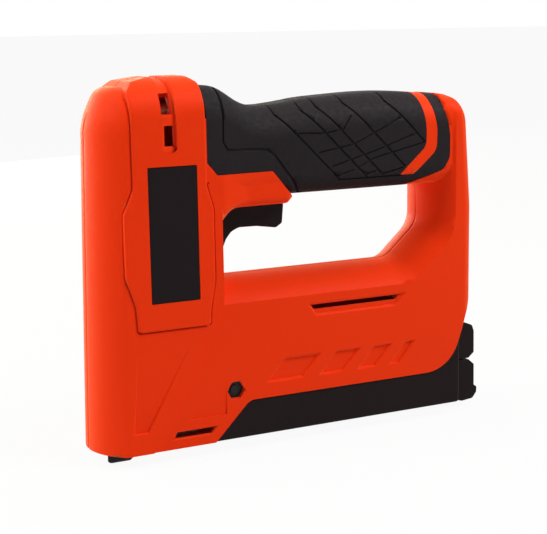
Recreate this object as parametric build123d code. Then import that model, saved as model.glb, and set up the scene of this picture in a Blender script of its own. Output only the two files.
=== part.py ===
from build123d import *
import os
from math import atan2, cos, pi, sin, sqrt

# Cordless stapler, millimetres. X runs from the nose to the rear, Y to the user's right, Z up.
# The origin is the centre of the nose contact face.

# Housing form
WALL = 2.4
HOUSING_BASE = 5.2
BAR_SIDE = 19.2
BAR_TOP = 73.2
FRONT_SIDE = 20.0
FRONT_TOP = 154.6
FRONT_TIP = -9.0
FRONT_EDGE = 1.3
FRONT_LEAN = 0.027
LEAN_LEVEL = 45.0
FRONT_CORNER = 3.0
FRONT_TOP_ROUND = 4.0
DOME_HIGH = 17.0
DOME_BACK = 6.6
ARCH_ROUND = 15.0
COLUMN_REAR = 44.9
COLUMN_NECK = 39.0
STRAP_RISE = 1.0
STRAP_TOP_RISE = 3.7
STRAP_FRONT = 6.5
STRAP_REAR = 38.0
STRAP_LOW = 56.6
STRAP_GROOVE = 1.6
VENT_X = 22.0
VENT_INNER = 12.0
SLOT_DEEP = 3.0
REAR_FACE = 169.7
REAR_INNER = 150.3
REAR_TOP = 147.0
REAR_LEAN = 3.4
CROWN_DROP = 9.2
SLOPE_START = 134.0
SLOPE_RISE = 14.5
SLOPE_SHIFT = 0.4  # share of an inset by which the slope ends move along it
REAR_ROUND = 6.0
COLUMN_ROUND = 13.0
OPENING_BEND = 10.0

# Handle, grip and guard
HANDLE_LOW = 107.0
RUBBER = 1.8
GUARD_LOW = 103.5
GUARD_SIDE = 17.2
STRIPE_X = 144.2
STRIPE_WIDTH = 6.0
GROOVE_WIDE = 0.9
GROOVE_DEEP = 0.55
GROOVE_LOW = 112.4
GUARD_ROUND = 9.4
GRIP_REAR = 157.0

# Base and magazine
BASE_SIDE = 18.6
BASE_TOP = 21.5
BASE_END = 163.0
BASE_GAP = 0.15
BASE_DROP = 0.2
SHEET = 1.0
CHANNEL_SIDE = 7.5
CHANNEL_HIGH = 11.8
CHANNEL_FRONT = 0.75
CHANNEL_SETBACK = 5.0
RAIL_SIDE = 4.6
RAIL_HIGH = 8.7
RAIL_WALL = 1.2
SLIDE_GAP = 0.1
CAP_GAP = 1.2
CAP_SIDE = 12.0
CAP_LOW = 2.9
CAP_HIGH = 22.6
PUSHER_LENGTH = 14.0
EAR_INNER = 4.5
EAR_WIDE = 3.0
LATCH_PIN = 1.25
PIN_COVER = 1.6

# Nose, hammer and drive spring
BLADE_THICK = 1.3
BLADE_SIDE = 6.0
NOSE_GAP = 4.6
NOSE_SIDE = 7.2
NOSE_PLATE = 2.2
FOOT_FRONT = 4.4
FOOT_LONG = 6.5
FOOT_SIDE = 9.2
FOOT_TRAVEL = 4.0
LINK_Y = 13.4
HAMMER_SIDE = 9.0
HAMMER_REAR = 11.0
HAMMER_LOW = 24.0
HAMMER_HIGH = 50.0
GUIDE_TOP = 68.0
SPRING_X = 4.9
SPRING_TOP = 122.0
SPRING_IN = 5.2
SPRING_OUT = 7.4

# Motor and planetary gear, on one axis along X
DRIVE_Z = 47.0
MOTOR_FRONT = 48.0
MOTOR_LENGTH = 38.0
MOTOR_RADIUS = 13.85
MOTOR_WALL = 1.2
ROTOR_RADIUS = 9.2
SHAFT_RADIUS = 1.15
GEAR_CASE = 15.0
MODULE = 0.75
SUN_TEETH = 9
PLANET_TEETH = 12
RING_TEETH = 33
PLANET_WIDE = 5.0
CARRIER_PLATE = 2.0
PLANET_PIN = 1.5
CRANK_THROW = 10.0
CRANK_START = 40.0
ROLLER_RADIUS = 3.0
ROLLER_GAP = 0.6
RUN_FIT = 0.05

# Trigger, switches, battery and board
TRIGGER_SIDE = 7.0
TRIGGER_GAP = 0.35
PIVOT_X = 39.9
PIVOT_Z = 88.2
PIN_RADIUS = 1.5
CELL_RADIUS = 9.2
CELL_LENGTH = 65.3
CELL_FRONT = 78.0
CELL_Z = 127.5
STRIP = 0.5
BOARD_THICK = 1.6
BOARD_SIDE = 14.0
BOARD_LOW = 62.0
BOARD_HIGH = 120.0
SOCKET_Z = 95.0
SOCKET_DEPTH = 7.8
SOCKET_RECESS = 0.8
LEAD_Y = 3.3
WIRE = 0.7

# Fasteners
SCREW_RADIUS = 1.3
SCREW_HEAD = 2.7
BOSS_RADIUS = 4.3
BOLT_X = 49.7
BOLT_Z = 26.6
BOLT_RADIUS = 2.0
NUT_FLATS = 7.0
NUT_THICK = 3.2
NUT_DEPTH = 2.4

# Values that follow from the ones above
FLOOR = HOUSING_BASE + WALL
STRAP_SIDE = FRONT_SIDE + STRAP_RISE
STRAP_TOP = FRONT_TOP + STRAP_TOP_RISE
CHANNEL_TOP = FLOOR + CHANNEL_HIGH
CHANNEL_END = BASE_END - CHANNEL_SETBACK
BOARD_X = REAR_FACE - SOCKET_RECESS - SOCKET_DEPTH - BOARD_THICK
RAIL_LOW = FLOOR + SLIDE_GAP
RAIL_TOP = RAIL_LOW + RAIL_HIGH
CAP_FRONT = BASE_END + CAP_GAP
GUIDE_FACE = -BLADE_THICK / 2 - 0.2 - NOSE_PLATE
HAMMER_FRONT = GUIDE_FACE + 0.15
LATCH_X = CAP_FRONT + 4.3
LATCH_Z = CAP_HIGH + 3.9
PUSHER_COIL = (CHANNEL_FRONT + 12.0, RAIL_LOW + 4.9, 2.6)
GEAR_END = MOTOR_FRONT
STAGE_ONE = GEAR_END - 2.5 - PLANET_WIDE
PLATE_ONE = STAGE_ONE - 0.3 - CARRIER_PLATE
STAGE_TWO = PLATE_ONE - 0.9 - PLANET_WIDE
PLATE_TWO = STAGE_TWO - 0.3 - CARRIER_PLATE
CASE_FRONT = PLATE_TWO - 0.5
COVER_FRONT = CASE_FRONT - 5.0
CRANK_FRONT = COVER_FRONT - 0.3 - 3.0
ORBIT = MODULE * (SUN_TEETH + PLANET_TEETH) / 2
LUG_LOW = DRIVE_Z - CRANK_THROW * cos(CRANK_START * pi / 180) + ROLLER_RADIUS + ROLLER_GAP
CELL_END = CELL_FRONT + CELL_LENGTH
LEAD_Z = CELL_Z - CELL_RADIUS - 3.0
BOARD_LEAD = BOARD_X - WIRE - 0.1
SCREWS = [(33.5, 143.0), (36.0, 74.0), (139.5, 57.5), (103.0, 33.0), (163.0, 131.0), (161.6, 50.0)]
GRIP_LINES = [
    (101.0, 141.2, GROOVE_LOW),
    (114.6, 142.5, GROOVE_LOW),
    (123.0, 143.7, GROOVE_LOW),
    (137.2, 144.8, 116.5),
    (157.6, 145.0, 126.8),
]
GRIP_CROSSES = [
    [(100.4, GROOVE_LOW), (132.0, GROOVE_LOW)],
    [(81.4, 133.0), (94.0, 132.6), (102.8, 134.0), (107.0, 139.4)],
    [(91.2, 124.6), (108.2, 127.4), (131.0, 137.5)],
    [(97.4, 118.4), (117.0, 123.6), (139.4, 130.6)],
    [(100.2, 114.2), (107.2, 116.2)],
    [(110.8, 117.6), (118.0, 120.9), (143.0, 126.2)],
    [(113.0, 113.8), (118.2, 114.9)],
    [(121.8, 113.6), (132.0, 115.8)],
]
HANDLE_SECTIONS = [
    (36.0, 20.0, 155.6),
    (44.0, 19.8, 154.1),
    (51.0, 19.0, 151.7),
    (57.0, 18.3, 147.9),
    (64.0, 17.8, 145.2),
    (76.0, 17.7, 145.2),
    (88.0, 18.0, 146.7),
    (100.0, 18.3, 147.6),
    (112.0, 18.5, 148.2),
    (125.0, 18.6, 148.5),
    (137.0, 18.5, 148.1),
    (149.0, 18.3, 147.2),
    (162.0, 18.0, 146.0),
]


def side_plate(points, y0, y1, radii=0):
    """Side-view outline (X, Z) carried from y0 to y1."""
    face = make_face(FilletPolyline(*points, radius=radii, close=True))
    return extrude(Plane.XZ.offset(-y1) * face, amount=y1 - y0)


def front_plate(points, x0, x1, radii=0):
    """Front-view outline (Y, Z) carried from x0 to x1."""
    face = make_face(FilletPolyline(*points, radius=radii, close=True))
    return extrude(Plane.YZ.offset(x0) * face, amount=x1 - x0)


def plan_plate(points, z0, z1, radii=0):
    """Plan outline (X, Y) carried from z0 to z1."""
    face = make_face(FilletPolyline(*points, radius=radii, close=True))
    return extrude(Plane.XY.offset(z0) * face, amount=z1 - z0)


def block(x0, x1, y0, y1, z0, z1):
    """Box between two corners."""
    return Pos((x0 + x1) / 2, (y0 + y1) / 2, (z0 + z1) / 2) * Box(x1 - x0, y1 - y0, z1 - z0)


def rod_x(x0, x1, y, z, radius):
    """Round bar along X."""
    return Pos((x0 + x1) / 2, y, z) * Rot(0, 90, 0) * Cylinder(radius, x1 - x0)


def rod_y(y0, y1, x, z, radius):
    """Round bar along Y."""
    return Pos(x, (y0 + y1) / 2, z) * Rot(90, 0, 0) * Cylinder(radius, y1 - y0)


def rod_z(z0, z1, x, y, radius):
    """Round bar along Z."""
    return Pos(x, y, (z0 + z1) / 2) * Cylinder(radius, z1 - z0)


def both_sides(shape):
    """The shape and its mirror image across the middle plane."""
    return shape + mirror(shape, about=Plane.XZ)


def tip_at(level):
    """X of the front crest at a height."""
    return FRONT_TIP + FRONT_LEAN * (level - LEAN_LEVEL)


def bow_face(level, half, back, inset, setback=0.0):
    """Plan face of the bowed front at a height, with rounded corners."""
    sagitta = FRONT_EDGE - FRONT_TIP
    bow = (FRONT_SIDE**2 + sagitta**2) / (2 * sagitta)
    centre = tip_at(level) + bow + setback
    radius = bow - inset
    edge = centre - sqrt(radius**2 - half**2)
    arc = ThreePointArc((edge, -half), (centre - radius, 0), (edge, half))
    rest = Polyline((edge, half), (back, half), (back, -half), (edge, -half))
    face = make_face(arc + rest)
    face = fillet(face.vertices().sort_by(Axis.X)[:2], FRONT_CORNER)
    return Plane.XY.offset(level) * face


def front_dome(inset=0.0):
    """Rounded head of the front column, narrowing and leaning back to its top."""
    top = FRONT_TOP - inset
    arch = ARCH_ROUND - inset
    rolled = max(1.0, FRONT_TOP_ROUND - inset)
    faces = []
    for share in (0.0, 0.25, 0.45, 0.62, 0.76, 0.86, 0.93, 0.975, 1.0):
        down = DOME_HIGH * (1.0 - share)
        narrow = arch - sqrt(arch**2 - max(0.0, arch - down) ** 2)
        over = rolled - sqrt(rolled**2 - max(0.0, rolled - down) ** 2)
        setback = DOME_BACK * share**1.5 + over
        faces.append(bow_face(top - down, FRONT_SIDE - inset - narrow, COLUMN_NECK - inset, inset, setback))
    return loft(faces)


def front_column(inset=0.0):
    """Bowed, arched column over the nose, drawn in by inset."""
    half = FRONT_SIDE - inset
    low = HOUSING_BASE + inset
    top = FRONT_TOP - inset
    back = COLUMN_REAR + 20
    bowed = extrude(bow_face(low, half, back, inset), amount=top - low + 2, dir=(FRONT_LEAN, 0, 1))
    arch_round = ARCH_ROUND - inset
    arch_points = [(-half, low), (half, low), (half, top), (-half, top)]
    arch = front_plate(arch_points, -30, back + 20, [0, 0, arch_round, arch_round])
    profile = [
        (-30.0, low),
        (12.0 - inset, low),
        (44.4 - inset, 63.0),
        (COLUMN_REAR - inset, 68.0),
        (COLUMN_REAR - inset, HANDLE_LOW - 3),
        (COLUMN_NECK - inset, 122.0),
        (COLUMN_NECK - inset, top),
        (-30.0, top),
    ]
    side = side_plate(profile, -40, 40, [0, 0, 3, 2, 4, 4, 0, 0])
    head = block(-30, back, -40, 40, top - DOME_HIGH, top + 10)
    return (bowed & arch & side) - head + front_dome(inset)


def strap_prism(margin=0.0):
    """Side outline of the raised strap, carried right across."""
    front = STRAP_FRONT - margin
    rear = STRAP_REAR + margin
    low = STRAP_LOW - margin
    points = [
        (front + 0.2, low),
        (rear + 0.4, low),
        (rear + 0.6, 63.3),
        (rear + 2.8, 75.0),
        (rear + 2.8, 105.0),
        (rear, 114.5),
        (rear, STRAP_TOP - 2.8),
        (rear - 5.2, STRAP_TOP + 2.0),
        (VENT_X + 1.0, STRAP_TOP + 2.0),
        (VENT_X - 3.0, STRAP_TOP),
        (front + 3.4, STRAP_TOP - 1.6),
        (front, STRAP_TOP - 5.0),
        (front, 115.0),
        (front - 4.4, 105.0),
        (front - 4.4, 79.5),
        (front - 0.4, 67.3),
    ]
    return side_plate(points, -40, 40, [2, 2, 4, 4, 4, 4, 2, 0, 0, 0, 2, 2, 4, 4, 4, 4])


def strap_section(x, grow=0.0):
    """Arch section of the strap at a station along X."""
    half = STRAP_SIDE + grow
    top = STRAP_TOP + grow
    points = [(-half, HOUSING_BASE), (half, HOUSING_BASE), (half, top), (-half, top)]
    corner = ARCH_ROUND + STRAP_RISE
    return Plane.YZ.offset(x) * make_face(FilletPolyline(*points, radius=[0, 0, corner, corner], close=True))


def strap_arch(grow=0.0):
    """Arch of the strap over the whole column length."""
    return extrude(strap_section(-30, grow), amount=110)


def strap():
    """Raised band over the front column with a rounded rim."""
    body = strap_prism() & strap_arch()
    rim = []
    for edge in body.edges():
        box = edge.bounding_box()
        along_y = box.size.X < 1e-3 and box.size.Z < 1e-3
        tangent = box.size.Y < 1e-3 and box.size.Z < 1e-3 and box.min.Z > STRAP_LOW + 5
        if not along_y and not tangent:
            rim.append(edge)
    return fillet(rim, 0.8)


def opening_crown(inset=0.0):
    """Space over the crowned faces of the hand opening, swept along its outline."""
    half = BAR_SIDE - inset
    radius = (BAR_SIDE**2 + CROWN_DROP**2) / (2 * CROWN_DROP) - inset
    drop = radius - sqrt(radius**2 - half**2)
    slant = inset * SLOPE_SHIFT
    start = (COLUMN_NECK - 20, 0, BAR_TOP - inset)
    path = FilletPolyline(
        start,
        (SLOPE_START + slant, 0, BAR_TOP - inset),
        (REAR_INNER + inset, 0, BAR_TOP + SLOPE_RISE - slant),
        (REAR_INNER + inset, 0, REAR_TOP + 5),
        radius=OPENING_BEND,
    )
    crown = ThreePointArc((-half, -drop), (0, 0), (half, -drop))
    wide = half + 1
    rim = Polyline((half, -drop), (wide, -drop), (wide, 1), (-wide, 1), (-wide, -drop), (-half, -drop))
    plane = Plane(origin=start, x_dir=(0, 1, 0), z_dir=(1, 0, 0))
    return sweep(plane * make_face(crown + rim), path=path)


def lower_frame(inset=0.0):
    """Lower bar with the rear column, crowned along the hand opening and rounded at the rear."""
    half = BAR_SIDE - inset
    low = HOUSING_BASE + inset
    top = BAR_TOP - inset
    rear = REAR_FACE - inset
    inner = REAR_INNER + inset
    crest = REAR_TOP - inset
    slant = inset * SLOPE_SHIFT
    points = [
        (10.0, low),
        (rear, low),
        (rear, SOCKET_Z + 2.0),
        (rear - REAR_LEAN, crest),
        (inner, crest),
        (inner, BAR_TOP + SLOPE_RISE - slant),
        (SLOPE_START + slant, top),
        (10.0, top),
    ]
    body = side_plate(points, -half, half, [0, 0, 40, 14.0 - inset, 0, OPENING_BEND, OPENING_BEND, 0])
    rear_edges = []
    for edge in body.edges():
        at = edge.center()
        if abs(abs(at.Y) - half) < 1e-3 and at.X > rear - 9 and at.Z > low + 1:
            rear_edges.append(edge)
    body = fillet(rear_edges, REAR_ROUND - inset)
    arch_points = [(-half, low), (half, low), (half, crest), (-half, crest)]
    corner = COLUMN_ROUND - inset
    body = body & front_plate(arch_points, 0, REAR_FACE + 10, [0, 0, corner, corner])
    return body - opening_crown(inset)


def handle(inset=0.0):
    """Handle skin lofted through its sections, drawn in by inset."""
    sections = []
    for x, half, high in HANDLE_SECTIONS:
        side = half - inset
        low = HANDLE_LOW + inset
        top = high - inset
        points = [(-side, low), (side, low), (side, top), (-side, top)]
        corners = [9.0 - inset, 9.0 - inset, 14.0 - inset, 14.0 - inset]
        face = make_face(FilletPolyline(*points, radius=corners, close=True))
        sections.append(Plane.YZ.offset(x) * face)
    return loft(sections)


def guard(inset=0.0):
    """Cheek under the handle front that carries the trigger."""
    low = GUARD_LOW + inset
    plan = [
        (38.0, FRONT_SIDE - inset),
        (46.0, FRONT_SIDE - inset),
        (58.0, GUARD_SIDE - inset),
        (84.0, GUARD_SIDE - 0.4 - inset),
    ]
    plan = plan + [(x, -y) for x, y in reversed(plan)]
    bend = GUARD_ROUND + inset
    shape = plan_plate(plan, low - bend - 3, 120.0, [0, 12, 12, 0, 0, 12, 12, 0])
    profile = [
        (37.0, low - bend - 2),
        (COLUMN_REAR - inset, low - bend - 2),
        (COLUMN_REAR - inset, low),
        (77.6 - inset, low),
        (83.0 - inset, low + 5.6),
        (83.0 - inset, 121.0),
        (37.0, 121.0),
    ]
    shape = shape & side_plate(profile, -40, 40, [0, 0, bend, 2, 0, 0, 0])
    low_edges = [e for e in shape.edges() if abs(e.center().Z - low) < 0.3 and abs(e.center().Y) > 8]
    return fillet(low_edges, max(1.0, 4.0 - inset))


def base_zone(grow=0.0):
    """Space under the housing that the black base and the magazine end take."""
    points = [
        (29.6, -5.2),
        (55.9, BASE_TOP),
        (BASE_END - 6.0, BASE_TOP),
        (BASE_END + 5.5, 54.0),
        (BASE_END + 40.0, 54.0),
        (BASE_END + 40.0, -5.2),
    ]
    zone = side_plate(points, -40, 40, [0, 6, 18, 0, 0, 0])
    return Pos(-grow, 0, grow) * zone


def grip_field():
    """Side outline of the soft grip with its stripe."""
    points = [
        (38.6, 180.0),
        (38.6, 123.4),
        (43.2, 118.1),
        (69.3, 118.0),
        (84.0, 101.0),
        (131.5, 101.0),
        (137.5, 108.1),
        (153.5, 113.4),
        (GRIP_REAR, 118.8),
        (GRIP_REAR, 129.0),
        (GRIP_REAR - 2.0, 140.0),
        (GRIP_REAR - 1.8, 180.0),
    ]
    return side_plate(points, -40, 40, [0, 1, 1, 1, 0, 0, 3, 5, 5, 6, 6, 0])


def grip_zone():
    """Side outline of the soft grip, less the stripe."""
    inner = STRIPE_X
    outer = STRIPE_X + STRIPE_WIDTH
    stripe = [
        (inner - 1.4, 180.0),
        (inner - 1.2, 146.0),
        (inner + 0.3, 132.0),
        (inner + 0.3, 124.5),
        (130.6, 112.5),
        (138.0, 112.5),
        (outer - 0.4, 122.4),
        (outer, 131.0),
        (outer - 1.8, 144.0),
        (outer - 2.2, 180.0),
    ]
    return grip_field() - side_plate(stripe, -40, 40, [0, 6, 6, 6, 0.5, 0.5, 6, 6, 6, 0])


def gear_outline(teeth):
    """Outline points of an external gear with straight flanks, a tooth at angle zero."""
    tip = MODULE * (teeth / 2 + 0.85)
    root = MODULE * (teeth / 2 - 1.2)
    points = []
    for k in range(teeth):
        for radius, half in ((root, -0.85), (tip, -0.26), (tip, 0.26), (root, 0.85)):
            angle = 2 * pi * k / teeth + atan2(half * MODULE, radius)
            points.append((radius * cos(angle), radius * sin(angle)))
    return points


def ring_outline():
    """Outline points of the inside of the ring gear, a tooth at angle zero."""
    tip = MODULE * (RING_TEETH / 2 - 0.8)
    root = MODULE * (RING_TEETH / 2 + 1.25)
    points = []
    for k in range(RING_TEETH):
        for radius, half in ((root, -0.9), (tip, -0.3), (tip, 0.3), (root, 0.9)):
            angle = 2 * pi * k / RING_TEETH + atan2(half * MODULE, radius)
            points.append((radius * cos(angle), radius * sin(angle)))
    return points


def toothed(points, x0, x1, y=0.0, z=DRIVE_Z, turn=0.0):
    """Toothed outline carried along X about (y, z)."""
    face = make_face(Polyline(*points, close=True))
    return extrude(Plane.YZ.offset(x0) * Pos(y, z) * Rot(0, 0, turn) * face, amount=x1 - x0)


def coil(turns, low, high, inner, outer, wire, x, y):
    """Flat-wire compression spring along Z."""
    radius = (inner + outer) / 2
    pitch = (high - low - wire) / turns
    path = Helix(pitch=pitch, height=high - low - wire, radius=radius)
    section = Plane.XZ * Pos(radius, 0) * Rectangle(outer - inner, wire)
    wound = sweep(section, path=path, is_frenet=True)
    return Pos(x, y, low + wire / 2) * wound


def housing_outer():
    """Whole outer form of the housing before it is cut and hollowed."""
    body = front_column() + lower_frame() + guard() - grip_field() + strap() + handle()
    groove = (strap_prism(0.7) - strap_prism()) & (strap_arch(-0.95) - strap_arch(-1.9))
    return body - groove


def trigger_slot():
    """Slot in the column wall and the guard that the trigger swings in."""
    points = [(36.0, 83.2), (57.0, 83.2), (57.0, 98.0), (80.8, 98.0), (80.8, 112.5), (36.0, 112.5)]
    return side_plate(points, -TRIGGER_SIDE - TRIGGER_GAP, TRIGGER_SIDE + TRIGGER_GAP)


def pocket(points, side, depth, taper):
    """Sloped recess in both side faces of the housing."""
    flat = [(x, -z) for x, z in points]
    plane = Plane(origin=(0, -side - 0.02, 0), x_dir=(1, 0, 0), z_dir=(0, 1, 0))
    face = make_face(Polyline(*flat, close=True))
    return both_sides(extrude(plane * face, amount=depth + 0.02, taper=taper))


def recess_row():
    """Four slanted recesses along the lower bar."""
    tops = [(72.7, 90.1), (98.4, 110.0), (117.2, 126.2), (133.5, 138.4)]
    shapes = []
    for start, end in tops:
        points = [(start, 37.6), (end, 37.6), (end - 8.7, 28.0), (start - 8.7, 28.0)]
        shapes.append(pocket(points, BAR_SIDE, 1.3, 25))
    return shapes


def sloped_recess(points, side, depth):
    """Recess in both sides that deepens from its upper to its lower end."""
    low = min(z for _, z in points)
    high = max(z for _, z in points)
    wedge = front_plate([(-40, low), (depth - side, low), (-side, high), (-40, high)], -20, 100)
    return both_sides(wedge & side_plate(points, -40, 0))


def strap_groove():
    """Groove over the strap, deepest along its rear side."""
    front = VENT_X - 2.6
    rear = VENT_X + 3.6
    points = [(front, 128.4), (rear, 128.4), (rear, STRAP_TOP + 10), (front, STRAP_TOP + 10)]
    band = side_plate(points, -40, 40, [2.5, 2.5, 0, 0])
    return band - loft([strap_section(front), strap_section(rear, -STRAP_GROOVE)])


def side_details():
    """Recesses, vents and windows cut into both sides of the housing."""
    cuts = recess_row()
    cuts.append(sloped_recess([(6.6, 50.0), (29.6, 50.0), (9.6, 14.4), (3.6, 14.4)], FRONT_SIDE, 1.3))
    cuts.append(sloped_recess([(28.5, 16.8), (45.2, 16.8), (45.2, 31.0), (36.2, 31.0)], BAR_SIDE, 0.6))
    cuts.append(pocket([(84.6, 60.0), (133.4, 60.0), (127.4, 54.6), (88.2, 54.6)], BAR_SIDE, 1.1, 30))
    slot = side_plate([(86.2, 59.3), (130.5, 59.3), (128.6, 57.1), (87.6, 57.1)], -40, -BAR_SIDE + SLOT_DEEP)
    window = side_plate([(21.3, 9.5), (22.6, 12.2), (40.2, 12.2), (38.1, 9.5)], -40, -BAR_SIDE + WALL + 1)
    cuts.append(both_sides(slot + window))
    vents = block(VENT_X - 1.6, VENT_X + 2.9, -40, 40, 131.0, 139.2)
    vents = vents + block(VENT_X - 2.9, VENT_X + 2.0, -40, 40, 143.6, 152.0)
    cuts.append(vents - block(VENT_X - 10, VENT_X + 10, -VENT_INNER, VENT_INNER, 120, 160))
    cuts.append(strap_groove())
    return cuts


def housing_walls():
    """Ribs, bulkheads and bosses inside the housing."""
    slabs = [
        (-14.0, 9.4, 30.0, 32.0),
        (-14.0, 9.4, 58.0, 60.0),
        (-14.0, 30.0, SPRING_TOP + 4.0, SPRING_TOP + 6.5),
        (STAGE_TWO + 3.0, STAGE_TWO + 5.0, BASE_TOP, 66.0),
        (MOTOR_FRONT + 5.0, MOTOR_FRONT + 7.0, BASE_TOP, BAR_TOP),
        (MOTOR_FRONT + MOTOR_LENGTH - 6.0, MOTOR_FRONT + MOTOR_LENGTH - 4.0, BASE_TOP, BAR_TOP),
        (55.0, 57.0, 112.6, 150.0),
        (74.0, CELL_FRONT - STRIP, 112.6, 150.0),
        (CELL_FRONT + 12.0, CELL_FRONT + 14.0, 108.0, 150.0),
        (CELL_END - 14.0, CELL_END - 12.0, 108.0, 150.0),
        (CELL_END + STRIP, CELL_END + STRIP + 2.0, 108.0, 150.0),
        (REAR_INNER, REAR_FACE, BOARD_LOW - 2.0, BOARD_LOW),
        (REAR_INNER, REAR_FACE, BOARD_HIGH, BOARD_HIGH + 2.0),
    ]
    walls = [block(x0, x1, -40, 40, z0, z1) for x0, x1, z0, z1 in slabs]
    bosses = [rod_y(-40, 40, x, z, BOSS_RADIUS) for x, z in SCREWS]
    bosses.append(rod_y(-40, 40, BOLT_X, BOLT_Z, 6.0))
    bosses.append(rod_y(-40, -TRIGGER_SIDE - 0.3, PIVOT_X, PIVOT_Z, 3.4))
    bosses.append(rod_y(TRIGGER_SIDE + 3.2, 40, PIVOT_X, PIVOT_Z, 3.4))
    fill = front_column(1.0) + (lower_frame(1.0) - grip_field()) + handle(RUBBER + 1.0)
    return [wall & fill for wall in walls + bosses]


def housing_clearances():
    """Spaces that the pieces inside take out of the walls."""
    switch = block(57.0, 74.0, -3.2, 3.2, 113.0, 122.5)
    cell = rod_x(CELL_FRONT - STRIP, CELL_END + STRIP, 0, CELL_Z, CELL_RADIUS)
    motor = rod_x(MOTOR_FRONT, MOTOR_FRONT + MOTOR_LENGTH + 6, 0, DRIVE_Z, MOTOR_RADIUS)
    gears = rod_x(COVER_FRONT - 6, GEAR_END, 0, DRIVE_Z, GEAR_CASE)
    hammer_path = plan_plate(guide_outline(), 14.0, GUIDE_TOP + 3)
    link = block(1.2, 7.8, LINK_Y - 0.3, LINK_Y + 1.8, 9.0, 47.0)
    tunnel = block(CHANNEL_FRONT - 2, 62.0, -CHANNEL_SIDE - 0.05, CHANNEL_SIDE + 0.05, FLOOR, CHANNEL_TOP + 0.05)
    nose = block(-FOOT_FRONT - 0.4, FOOT_LONG + 0.4, -FOOT_SIDE - 0.4, FOOT_SIDE + 0.4, 0.0, 14.2)
    pin = rod_y(-14.0, 14.0, PIVOT_X, PIVOT_Z, PIN_RADIUS)
    socket = block(REAR_FACE - 6, REAR_FACE + 5, -5.0, 5.0, SOCKET_Z - 2.1, SOCKET_Z + 2.1)
    cuts = [switch, cell, motor, gears, hammer_path, link, tunnel, nose, pin, socket, trigger_slot()]
    for leads in (motor_wires, battery_wires, switch_wires, safety_wire):
        cuts.extend(leads(WIRE + 0.15))
    for x, z in SCREWS:
        cuts.append(rod_y(8.0, 40, x, z, SCREW_HEAD + 0.3))
        cuts.append(rod_y(0, 8.1, x, z, SCREW_RADIUS + 0.4))
        cuts.append(rod_y(-9.0, 0, x, z, SCREW_RADIUS))
    cuts.append(rod_y(-40, 40, BOLT_X, BOLT_Z, BOLT_RADIUS))
    cuts.append(rod_y(14.5, 40, BOLT_X, BOLT_Z, 4.1))
    cuts.append(nut_prism(NUT_FLATS + 0.3, -40, -BAR_SIDE + NUT_DEPTH + NUT_THICK))
    cuts.append(label_shape(STRAP_SIDE - 0.8, STRAP_SIDE + 2, 0.0))
    return cuts


def nut_prism(flats, y0, y1):
    """Hexagon along Y at the clamp bolt."""
    face = RegularPolygon(flats / sqrt(3), 6)
    return extrude(Plane.XZ.offset(-y1) * Pos(BOLT_X, BOLT_Z) * face, amount=y1 - y0)


def label_shape(inner, outer, inset):
    """Rounded label block on the left of the strap."""
    points = [(12.5 + inset, 67.8 + inset), (33.8 - inset, 67.8 + inset)]
    points = points + [(33.8 - inset, 123.2 - inset), (12.5 + inset, 123.2 - inset)]
    return side_plate(points, -outer, -inner, 0.5)


def guide_outline():
    """Plan outline of the hammer guide."""
    half = [(GUIDE_FACE - 1.55, 6.0), (GUIDE_FACE + 0.45, HAMMER_SIDE + 1.7), (9.5, HAMMER_SIDE + 1.7)]
    return half + [(x, -y) for x, y in reversed(half)]


def shells():
    """Left and right halves of the housing."""
    cavity = front_column(WALL) + lower_frame(WALL) + handle(RUBBER + WALL) + guard(WALL)
    cavity = cavity - base_zone(WALL)
    body = housing_outer() - cavity
    body = body + housing_walls()
    body = body - grip_seat() - base_zone() - housing_clearances()
    body = body - side_details()
    left = body & block(-60, 260, -60, 0, -60, 260)
    right = body & block(-60, 260, 0, 60, -60, 260)
    return left, right


def stroke(points, width):
    """Straight bars of one width along a side-view line, right across the tool."""
    bars = []
    for (x0, z0), (x1, z1) in zip(points, points[1:]):
        turn = atan2(z1 - z0, x1 - x0) * 180 / pi
        length = sqrt((x1 - x0) ** 2 + (z1 - z0) ** 2)
        face = Pos((x0 + x1) / 2, (z0 + z1) / 2) * Rot(0, 0, turn) * Rectangle(length + width, width)
        bars.append(extrude(Plane.XZ.offset(-40) * face, amount=80))
    return bars


def grip_grooves():
    """Pattern of grooves in the soft grip."""
    bars = stroke([(46.4, 160), (46.2, 131.4), (48.2, 128.2), (67.0, 127.2), (70.4, 124.7), (83.0, 108.0)], GROOVE_WIDE)
    for foot, knee, end in GRIP_LINES:
        run = foot - knee + GROOVE_LOW
        bars += stroke([(run, 160), (run, knee), (foot - end + GROOVE_LOW, end)], GROOVE_WIDE)
    for line in GRIP_CROSSES:
        bars += stroke(line, 0.7 * GROOVE_WIDE)
    return (bars[0] + bars[1:]) - handle(GROOVE_DEEP)


def grip_seat():
    """Space around the handle that the soft grip fills."""
    return (handle() - handle(RUBBER)) & grip_zone()


def grip_skin():
    """Soft grip around the handle, both halves in one."""
    return grip_seat() - trigger_slot() - grip_grooves()


def label_plate():
    """Bare label plate in its pocket."""
    return label_shape(STRAP_SIDE - 0.8, STRAP_SIDE - 0.2, 0.15)


def magazine_base():
    """Black base under the lower bar, with the tunnel of the magazine."""
    low = HOUSING_BASE - BASE_DROP
    body = Pos(BASE_GAP, 0, -BASE_GAP) * base_zone() & block(20, BASE_END, -BASE_SIDE, BASE_SIDE, low, 60)
    edges = []
    for edge in body.edges():
        at = edge.center()
        lower_long = abs(at.Z - low) < 1e-3 and abs(abs(at.Y) - BASE_SIDE) < 1e-3
        at_end = abs(at.X - BASE_END) < 1e-3
        if lower_long or (at_end and (abs(abs(at.Y) - BASE_SIDE) < 1e-3 or abs(at.Z - low) < 1e-3)):
            edges.append(edge)
    body = fillet(edges, 1.5)
    side = CHANNEL_SIDE + 0.05
    return body - block(10, BASE_END + 10, -side, side, FLOOR, CHANNEL_TOP + 0.05)


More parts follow.
